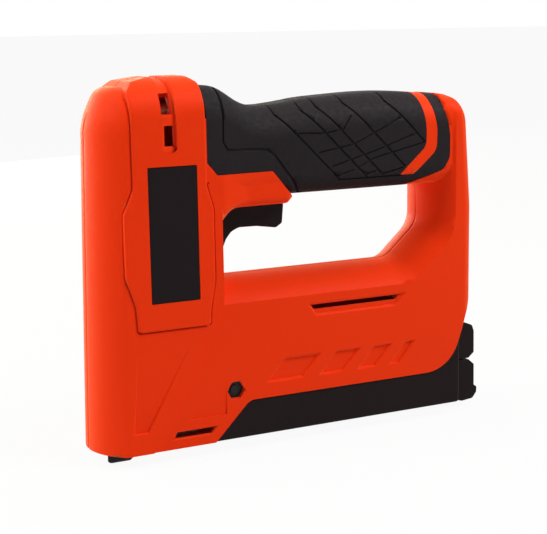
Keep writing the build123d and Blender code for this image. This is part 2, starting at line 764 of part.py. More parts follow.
def magazine_channel():
    """Sheet steel channel that the staples run in."""
    low = FLOOR
    outer = block(CHANNEL_FRONT, CHANNEL_END, -CHANNEL_SIDE, CHANNEL_SIDE, low, CHANNEL_TOP)
    inner = CHANNEL_SIDE - SHEET
    body = outer - block(-10, CHANNEL_END + 10, -inner, inner, low - 1, CHANNEL_TOP - SHEET)
    return body - block(21.0, 40.4, -20, 20, 9.4, 12.3)


def magazine_rail():
    """Sliding rail that the staples straddle."""
    outer = block(CHANNEL_FRONT + 2.5, CAP_FRONT, -RAIL_SIDE, RAIL_SIDE, RAIL_LOW, RAIL_TOP)
    inner = RAIL_SIDE - RAIL_WALL
    floor = RAIL_LOW + RAIL_WALL
    return outer - block(CHANNEL_FRONT + 4, CAP_FRONT - 2, -inner, inner, floor, RAIL_TOP + 1)


def pusher():
    """Saddle on the rail that feeds the staples forward."""
    front = CHANNEL_FRONT + 5.0
    rear = front + PUSHER_LENGTH
    inner = RAIL_SIDE + SLIDE_GAP
    outer = CHANNEL_SIDE - SHEET - 0.3
    roof = CHANNEL_TOP - SHEET - 0.2
    low = RAIL_LOW + 0.6
    saddle = block(front, rear, -outer, outer, low, roof)
    saddle = saddle - block(front - 1, rear + 1, -inner, inner, low - 1, RAIL_TOP + SLIDE_GAP)
    web = RAIL_SIDE - RAIL_WALL - 0.2
    tongue = block(front, rear, -web, web, RAIL_LOW + RAIL_WALL + 0.6, RAIL_TOP + SLIDE_GAP)
    axis = PUSHER_COIL
    room = rod_y(-web + 0.7, web - 0.7, axis[0], axis[1], axis[2] + 0.15)
    peg = rod_y(-web + 0.7, web - 0.7, axis[0], axis[1], 1.0)
    return saddle + (tongue - room) + peg


def pusher_spring():
    """Rolled strip spring inside the pusher."""
    half = RAIL_SIDE - RAIL_WALL - 0.2 - 0.9
    x, z, radius = PUSHER_COIL
    return rod_y(-half, half, x, z, radius) - rod_y(-half - 1, half + 1, x, z, 1.0 + RUN_FIT)


def magazine_end():
    """End cap of the magazine with the ears of the latch."""
    points = [
        (CAP_FRONT, CAP_LOW + 1.2),
        (CAP_FRONT + 4.7, CAP_LOW),
        (CAP_FRONT + 10.4, CAP_LOW + 0.6),
        (CAP_FRONT + 12.6, CAP_LOW + 3.3),
        (CAP_FRONT + 12.8, CAP_LOW + 5.9),
        (CAP_FRONT + 11.2, CAP_LOW + 7.0),
        (CAP_FRONT + 11.1, CAP_HIGH - 2.6),
        (CAP_FRONT + 8.1, CAP_HIGH),
        (CAP_FRONT, CAP_HIGH),
    ]
    body = side_plate(points, -CAP_SIDE, CAP_SIDE, [1.0, 1.5, 1.5, 1, 0.6, 0.6, 1, 0.4, 0])
    ear = [
        (LATCH_X - 3.5, CAP_HIGH - 1),
        (LATCH_X + 3.5, CAP_HIGH - 1),
        (LATCH_X + 3.0, LATCH_Z + 3.0),
        (LATCH_X - 3.0, LATCH_Z + 3.0),
    ]
    ears = both_sides(side_plate(ear, EAR_INNER, EAR_INNER + EAR_WIDE, [0, 0, 2, 2]))
    upright = block(CAP_FRONT, CAP_FRONT + 1.0, -5, 5, CAP_HIGH - 1, LATCH_Z + 9.5)
    return body + ears + upright - rod_y(-40, 40, LATCH_X, LATCH_Z, LATCH_PIN)


def latch_lever():
    """Lever that is pressed to free the magazine, slotted for the ears."""
    points = [
        (CAP_FRONT + 2.2, CAP_HIGH + 0.7),
        (CAP_FRONT + 8.0, CAP_HIGH + 0.7),
        (CAP_FRONT + 11.0, CAP_HIGH + 3.2),
        (CAP_FRONT + 10.9, LATCH_Z + 9.4),
        (CAP_FRONT + 9.9, LATCH_Z + 12.4),
        (CAP_FRONT + 5.7, LATCH_Z + 14.0),
        (CAP_FRONT + 3.8, LATCH_Z + 14.0),
        (CAP_FRONT + 2.2, LATCH_Z + 10.5),
    ]
    body = side_plate(points, -CAP_SIDE, CAP_SIDE, [0.5, 0.5, 0.8, 2, 2, 0.8, 0.8, 1])
    inner = EAR_INNER - 0.2
    outer = EAR_INNER + EAR_WIDE + 0.2
    body = body - both_sides(block(CAP_FRONT - 1, CAP_FRONT + 9.2, inner, outer, 0, LATCH_Z + 4.2))
    body = body - rod_x(CAP_FRONT, CAP_FRONT + 6.4, 0, LATCH_Z + 7.5, 2.4)
    reach = CAP_SIDE - PIN_COVER + 0.1
    return body - rod_y(-reach, reach, LATCH_X, LATCH_Z, LATCH_PIN + RUN_FIT)


def latch_pin():
    """Pin of the latch lever, covered at both ends."""
    reach = CAP_SIDE - PIN_COVER
    return rod_y(-reach, reach, LATCH_X, LATCH_Z, LATCH_PIN)


def latch_spring():
    """Spring that holds the latch lever out."""
    wound = coil(4, 0.0, 4.4, 1.2, 2.0, 0.5, 0, 0)
    return Pos(CAP_FRONT + 1.0, 0, LATCH_Z + 7.5) * Rot(0, 90, 0) * wound


def contact_foot():
    """Sprung foot around the nose that must be pressed before the tool fires."""
    inner_x = NOSE_PLATE + BLADE_THICK / 2 + 0.15 + 0.4
    inner_y = NOSE_SIDE + 0.4
    top = FLOOR + 2.1
    low_rear = FLOOR - FOOT_TRAVEL - 0.3
    outer = block(-FOOT_FRONT, FOOT_LONG, -FOOT_SIDE, FOOT_SIDE, 0, top)
    corners = outer.edges().filter_by(Axis.Z)
    outer = chamfer(corners, 1.2)
    outer = chamfer(outer.faces().sort_by(Axis.Z)[0].edges(), 0.8)
    outer = outer - block(-FOOT_FRONT - 1, inner_x, -inner_y, inner_y, -1, top + 1)
    passage = CHANNEL_SIDE + 0.3
    outer = outer - block(0, FOOT_LONG + 1, -passage, passage, low_rear, top + 1)
    flange = block(0.5, 8.0, FOOT_SIDE - 0.5, 15.4, FLOOR + 0.1, top)
    return outer + both_sides(flange)


def contact_link():
    """Strip from the contact foot up to the safety switch."""
    return block(1.5, 7.5, LINK_Y, LINK_Y + 1.5, FLOOR + 2.1, 42.0)


def contact_spring():
    """Spring that pushes the contact foot down."""
    return coil(7, FLOOR + 2.1, 30.0, 1.4, 2.2, 0.6, 4.5, -13.2)


def safety_switch():
    """Switch that the contact link closes."""
    outer = FRONT_SIDE - WALL - 0.2
    body = block(4.0, 15.0, LINK_Y, outer, 47.5, 58.0)
    return body + rod_z(46.4, 47.6, 6.0, LINK_Y + 0.95, 0.85)


def nose_plate():
    """Steel nose that guides the blade and the staple."""
    front = -BLADE_THICK / 2 - 0.15
    back = CHANNEL_FRONT
    plate = block(front - NOSE_PLATE, front, -NOSE_SIDE, NOSE_SIDE, NOSE_GAP, 23.0)
    low = block(front - NOSE_PLATE, back + NOSE_PLATE, -NOSE_SIDE, NOSE_SIDE, NOSE_GAP, FLOOR - 0.1)
    passage = block(front, back, -BLADE_SIDE - 0.4, BLADE_SIDE + 0.4, 0, 40)
    return plate + low - passage


def hammer_guide():
    """Steel guide that the hammer slides in."""
    outer = plan_plate(guide_outline(), HAMMER_LOW - 2.0, GUIDE_TOP)
    side = HAMMER_SIDE + 0.1
    half = [(GUIDE_FACE, side - 2.0), (GUIDE_FACE + 2.0, side), (20.0, side)]
    inner = half + [(x, -y) for x, y in reversed(half)]
    body = outer - plan_plate(inner, 0, GUIDE_TOP + 1)
    return body + block(GUIDE_FACE - 1.55, GUIDE_FACE, -5.4, 5.4, 14.0, HAMMER_LOW)


def hammer():
    """Hammer with the lug that the crank lifts and the spigot of the drive spring."""
    front = HAMMER_FRONT
    plan = [(front, 2.0 - HAMMER_SIDE), (front + 2, -HAMMER_SIDE), (HAMMER_REAR, -HAMMER_SIDE)]
    plan = plan + [(x, -y) for x, y in reversed(plan)]
    body = plan_plate(plan, HAMMER_LOW, HAMMER_HIGH)
    lug = block(HAMMER_REAR - 1, CRANK_FRONT - 0.7, 4.5, 11.2, LUG_LOW, LUG_LOW + 6)
    rib_points = [(HAMMER_REAR - 1, LUG_LOW + 5), (CRANK_FRONT - 2, LUG_LOW + 5), (HAMMER_REAR - 1, HAMMER_HIGH)]
    rib = side_plate(rib_points, 4.5, HAMMER_SIDE)
    spigot = rod_z(HAMMER_HIGH - 1, HAMMER_HIGH + 5, SPRING_X, 0, SPRING_IN - 0.3)
    return body + lug + rib + spigot - driver_blade()


def driver_blade():
    """Blade that drives the staple."""
    half = BLADE_THICK / 2
    return block(-half, half, -BLADE_SIDE, BLADE_SIDE, NOSE_GAP, HAMMER_LOW + 16)


def bumper():
    """Rubber stop under the hammer."""
    return block(2.0, 10.5, -6.0, 6.0, CHANNEL_TOP, HAMMER_LOW)


def drive_spring():
    """Flat-wire spring that throws the hammer down."""
    return coil(9, HAMMER_HIGH, SPRING_TOP, SPRING_IN, SPRING_OUT, 1.8, SPRING_X, 0)


def spring_seat():
    """Upper seat of the drive spring."""
    seat = rod_z(SPRING_TOP, SPRING_TOP + 4, SPRING_X, 0, SPRING_OUT + 0.4)
    return seat + block(SPRING_X, 18.0, -10, 10, SPRING_TOP, SPRING_TOP + 4)


def spring_rod():
    """Rod inside the drive spring."""
    return rod_z(HAMMER_HIGH + 22, SPRING_TOP, SPRING_X, 0, 3.0)


def on_orbit(k):
    """Position of planet k about the drive axis, and its angle in degrees."""
    angle = 2 * pi * k / 3
    return ORBIT * cos(angle), DRIVE_Z + ORBIT * sin(angle), 120.0 * k


def planet(stage, k):
    """Planet gear k of a stage."""
    y, z, angle = on_orbit(k)
    gear = toothed(gear_outline(PLANET_TEETH), stage, stage + PLANET_WIDE, y, z, angle + 180.0 / PLANET_TEETH)
    return gear - rod_x(stage - 1, stage + PLANET_WIDE + 1, y, z, PLANET_PIN + RUN_FIT)


def carrier_pins(start, stage):
    """Three planet pins of a carrier."""
    pins = []
    for k in range(3):
        y, z, _ = on_orbit(k)
        pins.append(rod_x(start, stage + PLANET_WIDE + 0.3, y, z, PLANET_PIN))
    return pins


def first_carrier():
    """Carrier of the first stage with the sun of the second."""
    plate = rod_x(PLATE_ONE, PLATE_ONE + CARRIER_PLATE, 0, DRIVE_Z, 11.0)
    sun = toothed(gear_outline(SUN_TEETH), STAGE_TWO, PLATE_ONE + 0.5)
    spigot = rod_x(PLATE_TWO + 0.3, STAGE_TWO + 0.5, 0, DRIVE_Z, 1.5)
    return plate + sun + spigot + carrier_pins(PLATE_ONE + 1, STAGE_ONE)


def crank_pin_centre():
    """Position of the crank pin at rest."""
    angle = CRANK_START * pi / 180
    return CRANK_THROW * sin(angle), DRIVE_Z - CRANK_THROW * cos(angle)


def crank():
    """Output carrier with its hub and the crank disc."""
    disc = rod_x(CRANK_FRONT, CRANK_FRONT + 3, 0, DRIVE_Z, 13.0)
    hub = rod_x(CRANK_FRONT + 2, PLATE_TWO + 1, 0, DRIVE_Z, 5.0)
    plate = rod_x(PLATE_TWO, PLATE_TWO + CARRIER_PLATE, 0, DRIVE_Z, 11.0)
    y, z = crank_pin_centre()
    pin = rod_x(HAMMER_REAR + 1.2, CRANK_FRONT + 1, y, z, 1.8)
    body = disc + hub + plate + pin + carrier_pins(PLATE_TWO + 1, STAGE_TWO)
    return body - rod_x(PLATE_TWO - 1, STAGE_TWO, 0, DRIVE_Z, 1.5 + RUN_FIT)


def crank_roller():
    """Roller on the crank pin."""
    y, z = crank_pin_centre()
    start = HAMMER_REAR + 1.4
    end = CRANK_FRONT - 0.2
    return rod_x(start, end, y, z, ROLLER_RADIUS) - rod_x(start - 1, end + 1, y, z, 1.8 + RUN_FIT)


def gear_case():
    """Case of the planetary gear with the ring teeth."""
    tube = rod_x(CASE_FRONT, GEAR_END, 0, DRIVE_Z, GEAR_CASE)
    teeth = toothed(ring_outline(), CASE_FRONT - 1, GEAR_END - 1.7)
    return tube - teeth - rod_x(CASE_FRONT, GEAR_END + 1, 0, DRIVE_Z, 6.5)


def gear_cover():
    """Front cover of the gear with the bearing of the crank."""
    disc = rod_x(COVER_FRONT, CASE_FRONT, 0, DRIVE_Z, GEAR_CASE)
    return disc - rod_x(COVER_FRONT - 1, CASE_FRONT + 1, 0, DRIVE_Z, 5.0 + RUN_FIT)


def motor_can():
    """Steel can of the motor."""
    end = MOTOR_FRONT + MOTOR_LENGTH
    body = rod_x(MOTOR_FRONT, end, 0, DRIVE_Z, MOTOR_RADIUS)
    body = body - rod_x(MOTOR_FRONT + 1.6, end + 1, 0, DRIVE_Z, MOTOR_RADIUS - MOTOR_WALL)
    return body - rod_x(MOTOR_FRONT - 1, MOTOR_FRONT + 3, 0, DRIVE_Z, SHAFT_RADIUS + RUN_FIT)


def motor_magnets():
    """Two arc magnets in the can."""
    start = MOTOR_FRONT + 6.0
    end = MOTOR_FRONT + 30.0
    ring = rod_x(start, end, 0, DRIVE_Z, MOTOR_RADIUS - MOTOR_WALL)
    ring = ring - rod_x(start - 1, end + 1, 0, DRIVE_Z, ROTOR_RADIUS + 0.4)
    return ring - block(start - 1, end + 1, -4, 4, DRIVE_Z - 30, DRIVE_Z + 30)


def motor_end():
    """End cap of the motor with its terminals."""
    start = MOTOR_FRONT + MOTOR_LENGTH
    cap = rod_x(start, start + 3.5, 0, DRIVE_Z, MOTOR_RADIUS - 0.3)
    tabs = both_sides(block(start + 3, start + 7.0, 6.0, 8.4, DRIVE_Z - 0.3, DRIVE_Z + 0.3))
    return cap + tabs - rod_x(start - 1, start + 2.5, 0, DRIVE_Z, SHAFT_RADIUS + RUN_FIT)


def rotor():
    """Motor shaft with core and commutator."""
    shaft = rod_x(STAGE_ONE - 0.2, MOTOR_FRONT + MOTOR_LENGTH + 2.2, 0, DRIVE_Z, SHAFT_RADIUS)
    core = rod_x(MOTOR_FRONT + 7.0, MOTOR_FRONT + 29.0, 0, DRIVE_Z, ROTOR_RADIUS)
    commutator = rod_x(MOTOR_FRONT + 28.0, MOTOR_FRONT + 35.0, 0, DRIVE_Z, 4.0)
    return shaft + core + commutator


def motor_pinion():
    """First sun gear, pressed on the motor shaft."""
    gear = toothed(gear_outline(SUN_TEETH), STAGE_ONE, STAGE_ONE + PLANET_WIDE + 0.5)
    return gear - rod_x(STAGE_ONE - 1, STAGE_ONE + PLANET_WIDE + 2, 0, DRIVE_Z, SHAFT_RADIUS)


def trigger():
    """Trigger, hinged at its lower front end inside the column."""
    points = [
        (PIVOT_X - 2.8, PIVOT_Z - 2.6),
        (50.6, PIVOT_Z - 3.2),
        (52.4, 89.2),
        (54.9, 92.2),
        (58.4, 93.7),
        (66.7, 93.6),
        (75.9, 92.2),
        (78.9, 94.0),
        (79.6, 101.4),
        (79.6, 106.0),
        (60.0, 106.4),
        (52.0, 104.4),
        (47.4, 99.0),
        (44.6, PIVOT_Z + 3.6),
        (PIVOT_X - 2.8, PIVOT_Z + 2.4),
    ]
    radii = [2.2, 0.6, 3, 4, 5, 10, 1.6, 1.6, 6, 1, 3, 3, 4, 1.5, 2]
    body = side_plate(points, -TRIGGER_SIDE, TRIGGER_SIDE, radii)
    rim = []
    for edge in body.edges():
        at = edge.center()
        if abs(abs(at.Y) - TRIGGER_SIDE) < 1e-3 and at.X > 49 and at.Z < 101.5:
            rim.append(edge)
    body = fillet(rim, 1.4)
    return body - rod_y(-40, 40, PIVOT_X, PIVOT_Z, PIN_RADIUS + RUN_FIT)


def trigger_pin():
    """Hinge pin of the trigger."""
    return rod_y(-14.0, 14.0, PIVOT_X, PIVOT_Z, PIN_RADIUS)


def trigger_spring():
    """Torsion spring on the trigger pin."""
    wound = coil(3, 0.0, 2.4, PIN_RADIUS + 0.1, PIN_RADIUS + 0.9, 0.6, 0, 0)
    return Pos(PIVOT_X, TRIGGER_SIDE + 2.9, PIVOT_Z) * Rot(90, 0, 0) * wound


def trigger_switch():
    """Switch above the trigger."""
    return block(57.0, 74.0, -3.2, 3.2, 113.0, 122.5) + block(62.0, 65.0, -1.2, 1.2, 109.6, 113.5)


def battery_cell():
    """Round lithium cell in the handle."""
    return rod_x(CELL_FRONT, CELL_END, 0, CELL_Z, CELL_RADIUS)


def battery_strips():
    """Contact strips at both ends of the cell, each with a tail to its lead."""
    strips = []
    for x, y in ((CELL_FRONT - STRIP, -LEAD_Y), (CELL_END, LEAD_Y)):
        pad = block(x, x + STRIP, -4, 4, CELL_Z - 7, CELL_Z + 7)
        strips.append(pad + block(x, x + STRIP, y - 1, y + 1, LEAD_Z - 1, CELL_Z - 6))
    return strips


def circuit_board():
    """Charging and motor control board in the rear column."""
    board = block(BOARD_X, BOARD_X + BOARD_THICK, -BOARD_SIDE, BOARD_SIDE, BOARD_LOW, BOARD_HIGH)
    chips = [
        block(BOARD_X - 1.4, BOARD_X + 0.2, -5, 3, 74, 80),
        block(BOARD_X - 1.8, BOARD_X + 0.2, -8, -3, 104, 109),
        block(BOARD_X - 2.2, BOARD_X + 0.2, 2, 9, 84, 90),
    ]
    return board + chips


def charge_socket():
    """Charging socket on the board, reached from the rear."""
    start = BOARD_X + BOARD_THICK
    end = REAR_FACE - SOCKET_RECESS
    body = block(start, end, -4.5, 4.5, SOCKET_Z - 1.6, SOCKET_Z + 1.6)
    body = body - block(start + 1.2, end + 1, -4.1, 4.1, SOCKET_Z - 1.25, SOCKET_Z + 1.25)
    return body + block(start + 0.5, end - 1.2, -3.3, 3.3, SOCKET_Z - 0.35, SOCKET_Z + 0.35)


def wire(points, radius):
    """Round wire along a bent path."""
    path = FilletPolyline(*points, radius=3.0)
    section = Plane(origin=path @ 0, z_dir=path % 0) * Circle(radius)
    return sweep(section, path=path)


def motor_wires(radius=WIRE):
    """Two leads from the motor to the board."""
    start = MOTOR_FRONT + MOTOR_LENGTH + 7.0
    leads = []
    for y in (-7.2, 7.2):
        points = [(start, y, DRIVE_Z), (149.0, y, DRIVE_Z), (BOARD_LEAD, y, 58.0), (BOARD_LEAD, y, 68.0)]
        leads.append(wire(points, radius))
    return leads


def battery_wires(radius=WIRE):
    """Leads from the cell strips to the board."""
    front = rod_x(CELL_FRONT, BOARD_X, -LEAD_Y, LEAD_Z, radius)
    return [front, rod_x(CELL_END + STRIP, BOARD_X, LEAD_Y, LEAD_Z, radius)]


def switch_wires(radius=WIRE):
    """Leads from the trigger switch to the board."""
    leads = []
    for y in (-1.1, 1.1):
        points = [
            (70.0, y, 122.5),
            (70.0, y, 139.6),
            (152.5, y, 139.6),
            (152.5, y, 117.5),
            (BOARD_LEAD, y, 110.0),
            (BOARD_LEAD, y, 104.0),
        ]
        leads.append(wire(points, radius))
    return leads


def safety_wire(radius=WIRE):
    """Twin lead from the safety switch to the board."""
    y = LINK_Y + 0.9
    inner = BOARD_SIDE - 3.5
    level = DRIVE_Z + GEAR_CASE + 1.6
    points = [
        (15.0, y, 55.0),
        (21.0, y, 55.0),
        (28.0, y, level),
        (60.0, y, level),
        (140.0, inner, level),
        (BOARD_LEAD, inner, 78.0),
        (BOARD_LEAD, inner, 86.0),
    ]
    return [wire(points, radius)]


def housing_screws():
    """Screws that hold the two halves, put in from the right."""
    screws = []
    for x, z in SCREWS:
        screw = rod_y(8.0, 10.2, x, z, SCREW_HEAD) + rod_y(-8.6, 8.5, x, z, SCREW_RADIUS)
        cross = block(x - 1.6, x + 1.6, 9.2, 11, z - 0.4, z + 0.4) + block(x - 0.4, x + 0.4, 9.2, 11, z - 1.6, z + 1.6)
        screws.append(screw - cross)
    return screws


def clamp_bolt():
    """Bolt across the housing behind the nose."""
    bolt = rod_y(14.5, 17.0, BOLT_X, BOLT_Z, 3.8) + rod_y(-BAR_SIDE + NUT_DEPTH - 0.6, 15.0, BOLT_X, BOLT_Z, BOLT_RADIUS)
    slot = block(BOLT_X - 2.4, BOLT_X + 2.4, 15.8, 18, BOLT_Z - 0.5, BOLT_Z + 0.5)
    return bolt - slot


def clamp_nut():
    """Nut of the clamp bolt in its pocket on the left."""
    nut = nut_prism(NUT_FLATS, -BAR_SIDE + NUT_DEPTH, -BAR_SIDE + NUT_DEPTH + NUT_THICK)
    return nut - rod_y(-40, 0, BOLT_X, BOLT_Z, BOLT_RADIUS)


def save(name, shape):
    """Write one node, a list of solids as one compound."""
    if isinstance(shape, (list, tuple)):
        solids = [solid for piece in shape for solid in piece.solids()]
        shape = Compound(children=solids)
    export_step(shape, "parts/" + name + ".step")


def main():
    os.makedirs("parts", exist_ok=True)
    left, right = shells()
    skin = grip_skin()
    save("left_shell", left)
    save("right_shell", right)
    save("left_grip", skin & block(-60, 260, -60, 0, -60, 260))
    save("right_grip", skin & block(-60, 260, 0, 60, -60, 260))
    makers = [
        label_plate, magazine_base, magazine_channel, magazine_rail, pusher, pusher_spring, magazine_end,
        latch_lever, latch_pin, latch_spring, contact_foot, contact_link, contact_spring, safety_switch,
        nose_plate, hammer_guide, hammer, driver_blade, bumper, drive_spring, spring_seat, spring_rod,
        first_carrier, crank, crank_roller, gear_case, gear_cover, motor_can, motor_magnets, motor_end,
        rotor, motor_pinion, trigger, trigger_pin, trigger_spring, trigger_switch, battery_cell,
        battery_strips, circuit_board, charge_socket, motor_wires, battery_wires, switch_wires, safety_wire,
        housing_screws, clamp_bolt, clamp_nut,
    ]
    for maker in makers:
        save(maker.__name__, maker())
    for number, stage in ((1, STAGE_ONE), (2, STAGE_TWO)):
        for k in range(3):
            save("planet_" + str(number) + "abc"[k], planet(stage, k))


if __name__ == "__main__":
    main()
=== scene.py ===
"""Looks of a cordless stapler: finishes, springs, windings and a studio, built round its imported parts."""

import logging
import math
from collections.abc import Callable
from dataclasses import dataclass, field
from enum import Enum
from functools import cache

import bmesh
import bpy
from mathutils import Matrix, Vector
from mathutils.bvhtree import BVHTree
from mathutils.geometry import intersect_point_line


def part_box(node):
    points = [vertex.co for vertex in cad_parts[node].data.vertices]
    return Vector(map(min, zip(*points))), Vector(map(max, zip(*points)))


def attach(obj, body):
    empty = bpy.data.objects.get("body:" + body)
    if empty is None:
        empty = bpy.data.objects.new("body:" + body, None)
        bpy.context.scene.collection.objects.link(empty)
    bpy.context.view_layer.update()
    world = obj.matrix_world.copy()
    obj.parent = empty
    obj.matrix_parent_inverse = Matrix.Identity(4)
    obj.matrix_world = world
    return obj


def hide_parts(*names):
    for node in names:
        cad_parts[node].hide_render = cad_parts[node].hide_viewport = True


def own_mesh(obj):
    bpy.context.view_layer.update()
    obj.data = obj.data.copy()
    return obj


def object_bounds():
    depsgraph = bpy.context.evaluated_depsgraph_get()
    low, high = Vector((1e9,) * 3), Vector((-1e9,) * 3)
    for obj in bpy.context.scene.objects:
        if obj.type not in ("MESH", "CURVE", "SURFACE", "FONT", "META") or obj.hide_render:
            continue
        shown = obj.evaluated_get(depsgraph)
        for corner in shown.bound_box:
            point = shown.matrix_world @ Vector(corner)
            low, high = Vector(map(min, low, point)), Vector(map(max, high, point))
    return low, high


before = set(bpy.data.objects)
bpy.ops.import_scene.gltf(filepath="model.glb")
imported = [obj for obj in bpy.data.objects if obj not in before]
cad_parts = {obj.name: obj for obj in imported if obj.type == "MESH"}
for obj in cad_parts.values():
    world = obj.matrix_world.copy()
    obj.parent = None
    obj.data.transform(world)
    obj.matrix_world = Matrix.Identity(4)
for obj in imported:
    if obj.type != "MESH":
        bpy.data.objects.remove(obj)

LOG = logging.getLogger("cordless_stapler")
CAD_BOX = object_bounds()
MM = 0.001

Triple = tuple[float, float, float]
Socket = bpy.types.NodeSocket
Node = bpy.types.Node
Tree = bpy.types.NodeTree
Piece = bpy.types.Object
Rule = Callable[[Socket, Socket], Socket]


class Body(Enum):
    """Bodies that pieces ride on."""

    HOUSING = "housing"
    MAGAZINE = "magazine"
    LATCH = "latch"
    FEEDER = "feeder"
    FOOT = "foot"
    STRIKER = "striker"
    CRANK = "crank"
    ROLLER = "roller"
    CARRIER = "carrier"
    ARMATURE = "armature"
    TRIGGER = "trigger"


class Edge(Enum):
    """How far a piece's sharp edges are rounded, in metres."""

    MOULDED = 0.60 * MM
    RUBBER = 0.30 * MM
    FINE = 0.20 * MM
    PRESSED = 0.12 * MM
    SHARP = 0.0


class Wiring:
    """Adds and links nodes in one node tree."""

    def __init__(self, tree: Tree) -> None:
        """Starts from an empty tree.

        Args:
            tree: The node tree to fill.
        """
        self.tree = tree
        self.tree.nodes.clear()

    def add(self, kind: str, inputs: dict | None = None, **settings: object) -> Node:
        """Adds a node.

        Args:
            kind: The node's type name.
            inputs: Values or sockets for the node's inputs, by name or number.
            settings: Properties of the node itself.

        Returns:
            The new node.
        """
        node = self.tree.nodes.new(kind)
        for key, value in settings.items():
            setattr(node, key, value)
        for key, value in (inputs or {}).items():
            if isinstance(value, Socket):
                self.tree.links.new(value, node.inputs[key])
            else:
                node.inputs[key].default_value = value
        return node

    def math(self, operation: str, first: object, second: object = 0.0) -> Socket:
        """Adds a Math node.

        Args:
            operation: What the node works out.
            first: First value or socket.
            second: Second value or socket.

        Returns:
            The result's socket.
        """
        return self.add("ShaderNodeMath", {0: first, 1: second}, operation=operation).outputs[0]

    def noise(self, place: Socket, scale: object, detail: float, rough: float) -> Socket:
        """Adds a noise pattern.

        Args:
            place: Coordinates that the pattern lies on.
            scale: Waves for each metre.
            detail: How many finer waves are added.
            rough: How strong the finer waves are.

        Returns:
            The pattern's value, about 0 to 1.
        """
        inputs = {"Vector": place, "Scale": scale, "Detail": detail, "Roughness": rough}
        return self.add("ShaderNodeTexNoise", inputs).outputs[0]

    def spread(self, value: Socket, low: float, high: float, to_low: object, to_high: object) -> Socket:
        """Adds a Map Range node.

        Args:
            value: Value to be spread.
            low: Value that gives to_low.
            high: Value that gives to_high.
            to_low: Result at the low end.
            to_high: Result at the high end.

        Returns:
            The result's socket.
        """
        inputs = {"Value": value, "From Min": low, "From Max": high, "To Min": to_low, "To Max": to_high}
        return self.add("ShaderNodeMapRange", inputs).outputs[0]


def shader_group(name: str, inputs: dict[str, object], outputs: dict[str, str]) -> tuple[Tree, Wiring]:
    """Starts a shader node group with named sockets.

    Args:
        name: The group's name.
        inputs: Input names with their default values; a tuple makes a colour and None a vector.
        outputs: Output names with their socket types.

    Returns:
        The group and the wiring that fills it.
    """
    tree = bpy.data.node_groups.new(name, "ShaderNodeTree")
    for label, value in inputs.items():
        if value is None:
            tree.interface.new_socket(label, in_out="INPUT", socket_type="NodeSocketVector")
            continue
        kind = "NodeSocketColor" if isinstance(value, tuple) else "NodeSocketFloat"
        socket = tree.interface.new_socket(label, in_out="INPUT", socket_type=kind)
        socket.default_value = (*value, 1.0) if isinstance(value, tuple) else value
    for label, kind in outputs.items():
        tree.interface.new_socket(label, in_out="OUTPUT", socket_type=kind)
    return tree, Wiring(tree)


class Effects:
    """Shader groups that several finishes share, each built once.

    Attributes:
        COARSE_SCALE: Scale of the coarse grain as a share of the fine grain's.
        COARSE_WEIGHT: Height of the coarse grain as a share of the fine grain's.
        PIT_WEIGHT: Height of the pits as a share of the fine grain's.
        GLOSS_BAND: Values of the coarse grain that are glossiest and dullest.
        STRETCH: How the place is drawn out into streaks along X.
    """

    COARSE_SCALE = 0.31
    COARSE_WEIGHT = 0.6
    PIT_WEIGHT = 0.5
    GLOSS_BAND = (0.3, 0.7)
    STRETCH = (0.04, 1.0, 1.0)

    @staticmethod
    @cache
    def grain() -> Tree:
        """Makes the pitted grain of a spark-eroded mould: a height and a gloss mask.

        Returns:
            The group.
        """
        outputs = {"Height": "NodeSocketFloat", "Gloss": "NodeSocketFloat"}
        tree, wiring = shader_group("mould_grain", {"Place": None, "Scale": 2500.0}, outputs)
        given = wiring.add("NodeGroupInput").outputs
        fine = wiring.noise(given["Place"], given["Scale"], detail=3.0, rough=0.6)
        coarse_scale = wiring.math("MULTIPLY", given["Scale"], Effects.COARSE_SCALE)
        coarse = wiring.noise(given["Place"], coarse_scale, detail=2.0, rough=0.5)
        inputs = {"Vector": given["Place"], "Scale": given["Scale"]}
        cells = wiring.add("ShaderNodeTexVoronoi", inputs).outputs["Distance"]
        pits = wiring.math("MULTIPLY", cells, Effects.PIT_WEIGHT)
        swell = wiring.math("MULTIPLY", coarse, Effects.COARSE_WEIGHT)
        height = wiring.math("ADD", wiring.math("ADD", fine, pits), swell)
        gloss = wiring.spread(coarse, *Effects.GLOSS_BAND, 0.0, 1.0)
        wiring.add("NodeGroupOutput", {"Height": height, "Gloss": gloss})
        return tree

    @staticmethod
    @cache
    def drift() -> Tree:
        """Makes a slow change of shade over a moulding or a sheet.

        Returns:
            The group.
        """
        inputs = {"Place": None, "Colour": (0.5, 0.5, 0.5), "Amount": 0.1, "Scale": 25.0}
        tree, wiring = shader_group("shade_drift", inputs, {"Colour": "NodeSocketColor"})
        given = wiring.add("NodeGroupInput").outputs
        slow = wiring.noise(given["Place"], given["Scale"], detail=3.0, rough=0.55)
        signed = wiring.math("MULTIPLY", wiring.math("SUBTRACT", slow, 0.5), 2.0)
        factor = wiring.math("ADD", wiring.math("MULTIPLY", signed, given["Amount"]), 1.0)
        shade = wiring.add("ShaderNodeVectorMath", {0: given["Colour"], "Scale": factor}, operation="SCALE")
        wiring.add("NodeGroupOutput", {"Colour": shade.outputs[0]})
        return tree

    @staticmethod
    @cache
    def streaks() -> Tree:
        """Makes the fine lines that drawing or grinding leaves along one direction.

        Returns:
            The group.
        """
        inputs = {"Place": None, "Scale": 900.0}
        tree, wiring = shader_group("drawn_streaks", inputs, {"Height": "NodeSocketFloat"})
        given = wiring.add("NodeGroupInput").outputs
        inputs = {0: given["Place"], 1: Effects.STRETCH}
        stretch = wiring.add("ShaderNodeVectorMath", inputs, operation="MULTIPLY")
        lines = wiring.noise(stretch.outputs[0], given["Scale"], detail=4.0, rough=0.65)
        wiring.add("NodeGroupOutput", {"Height": lines})
        return tree


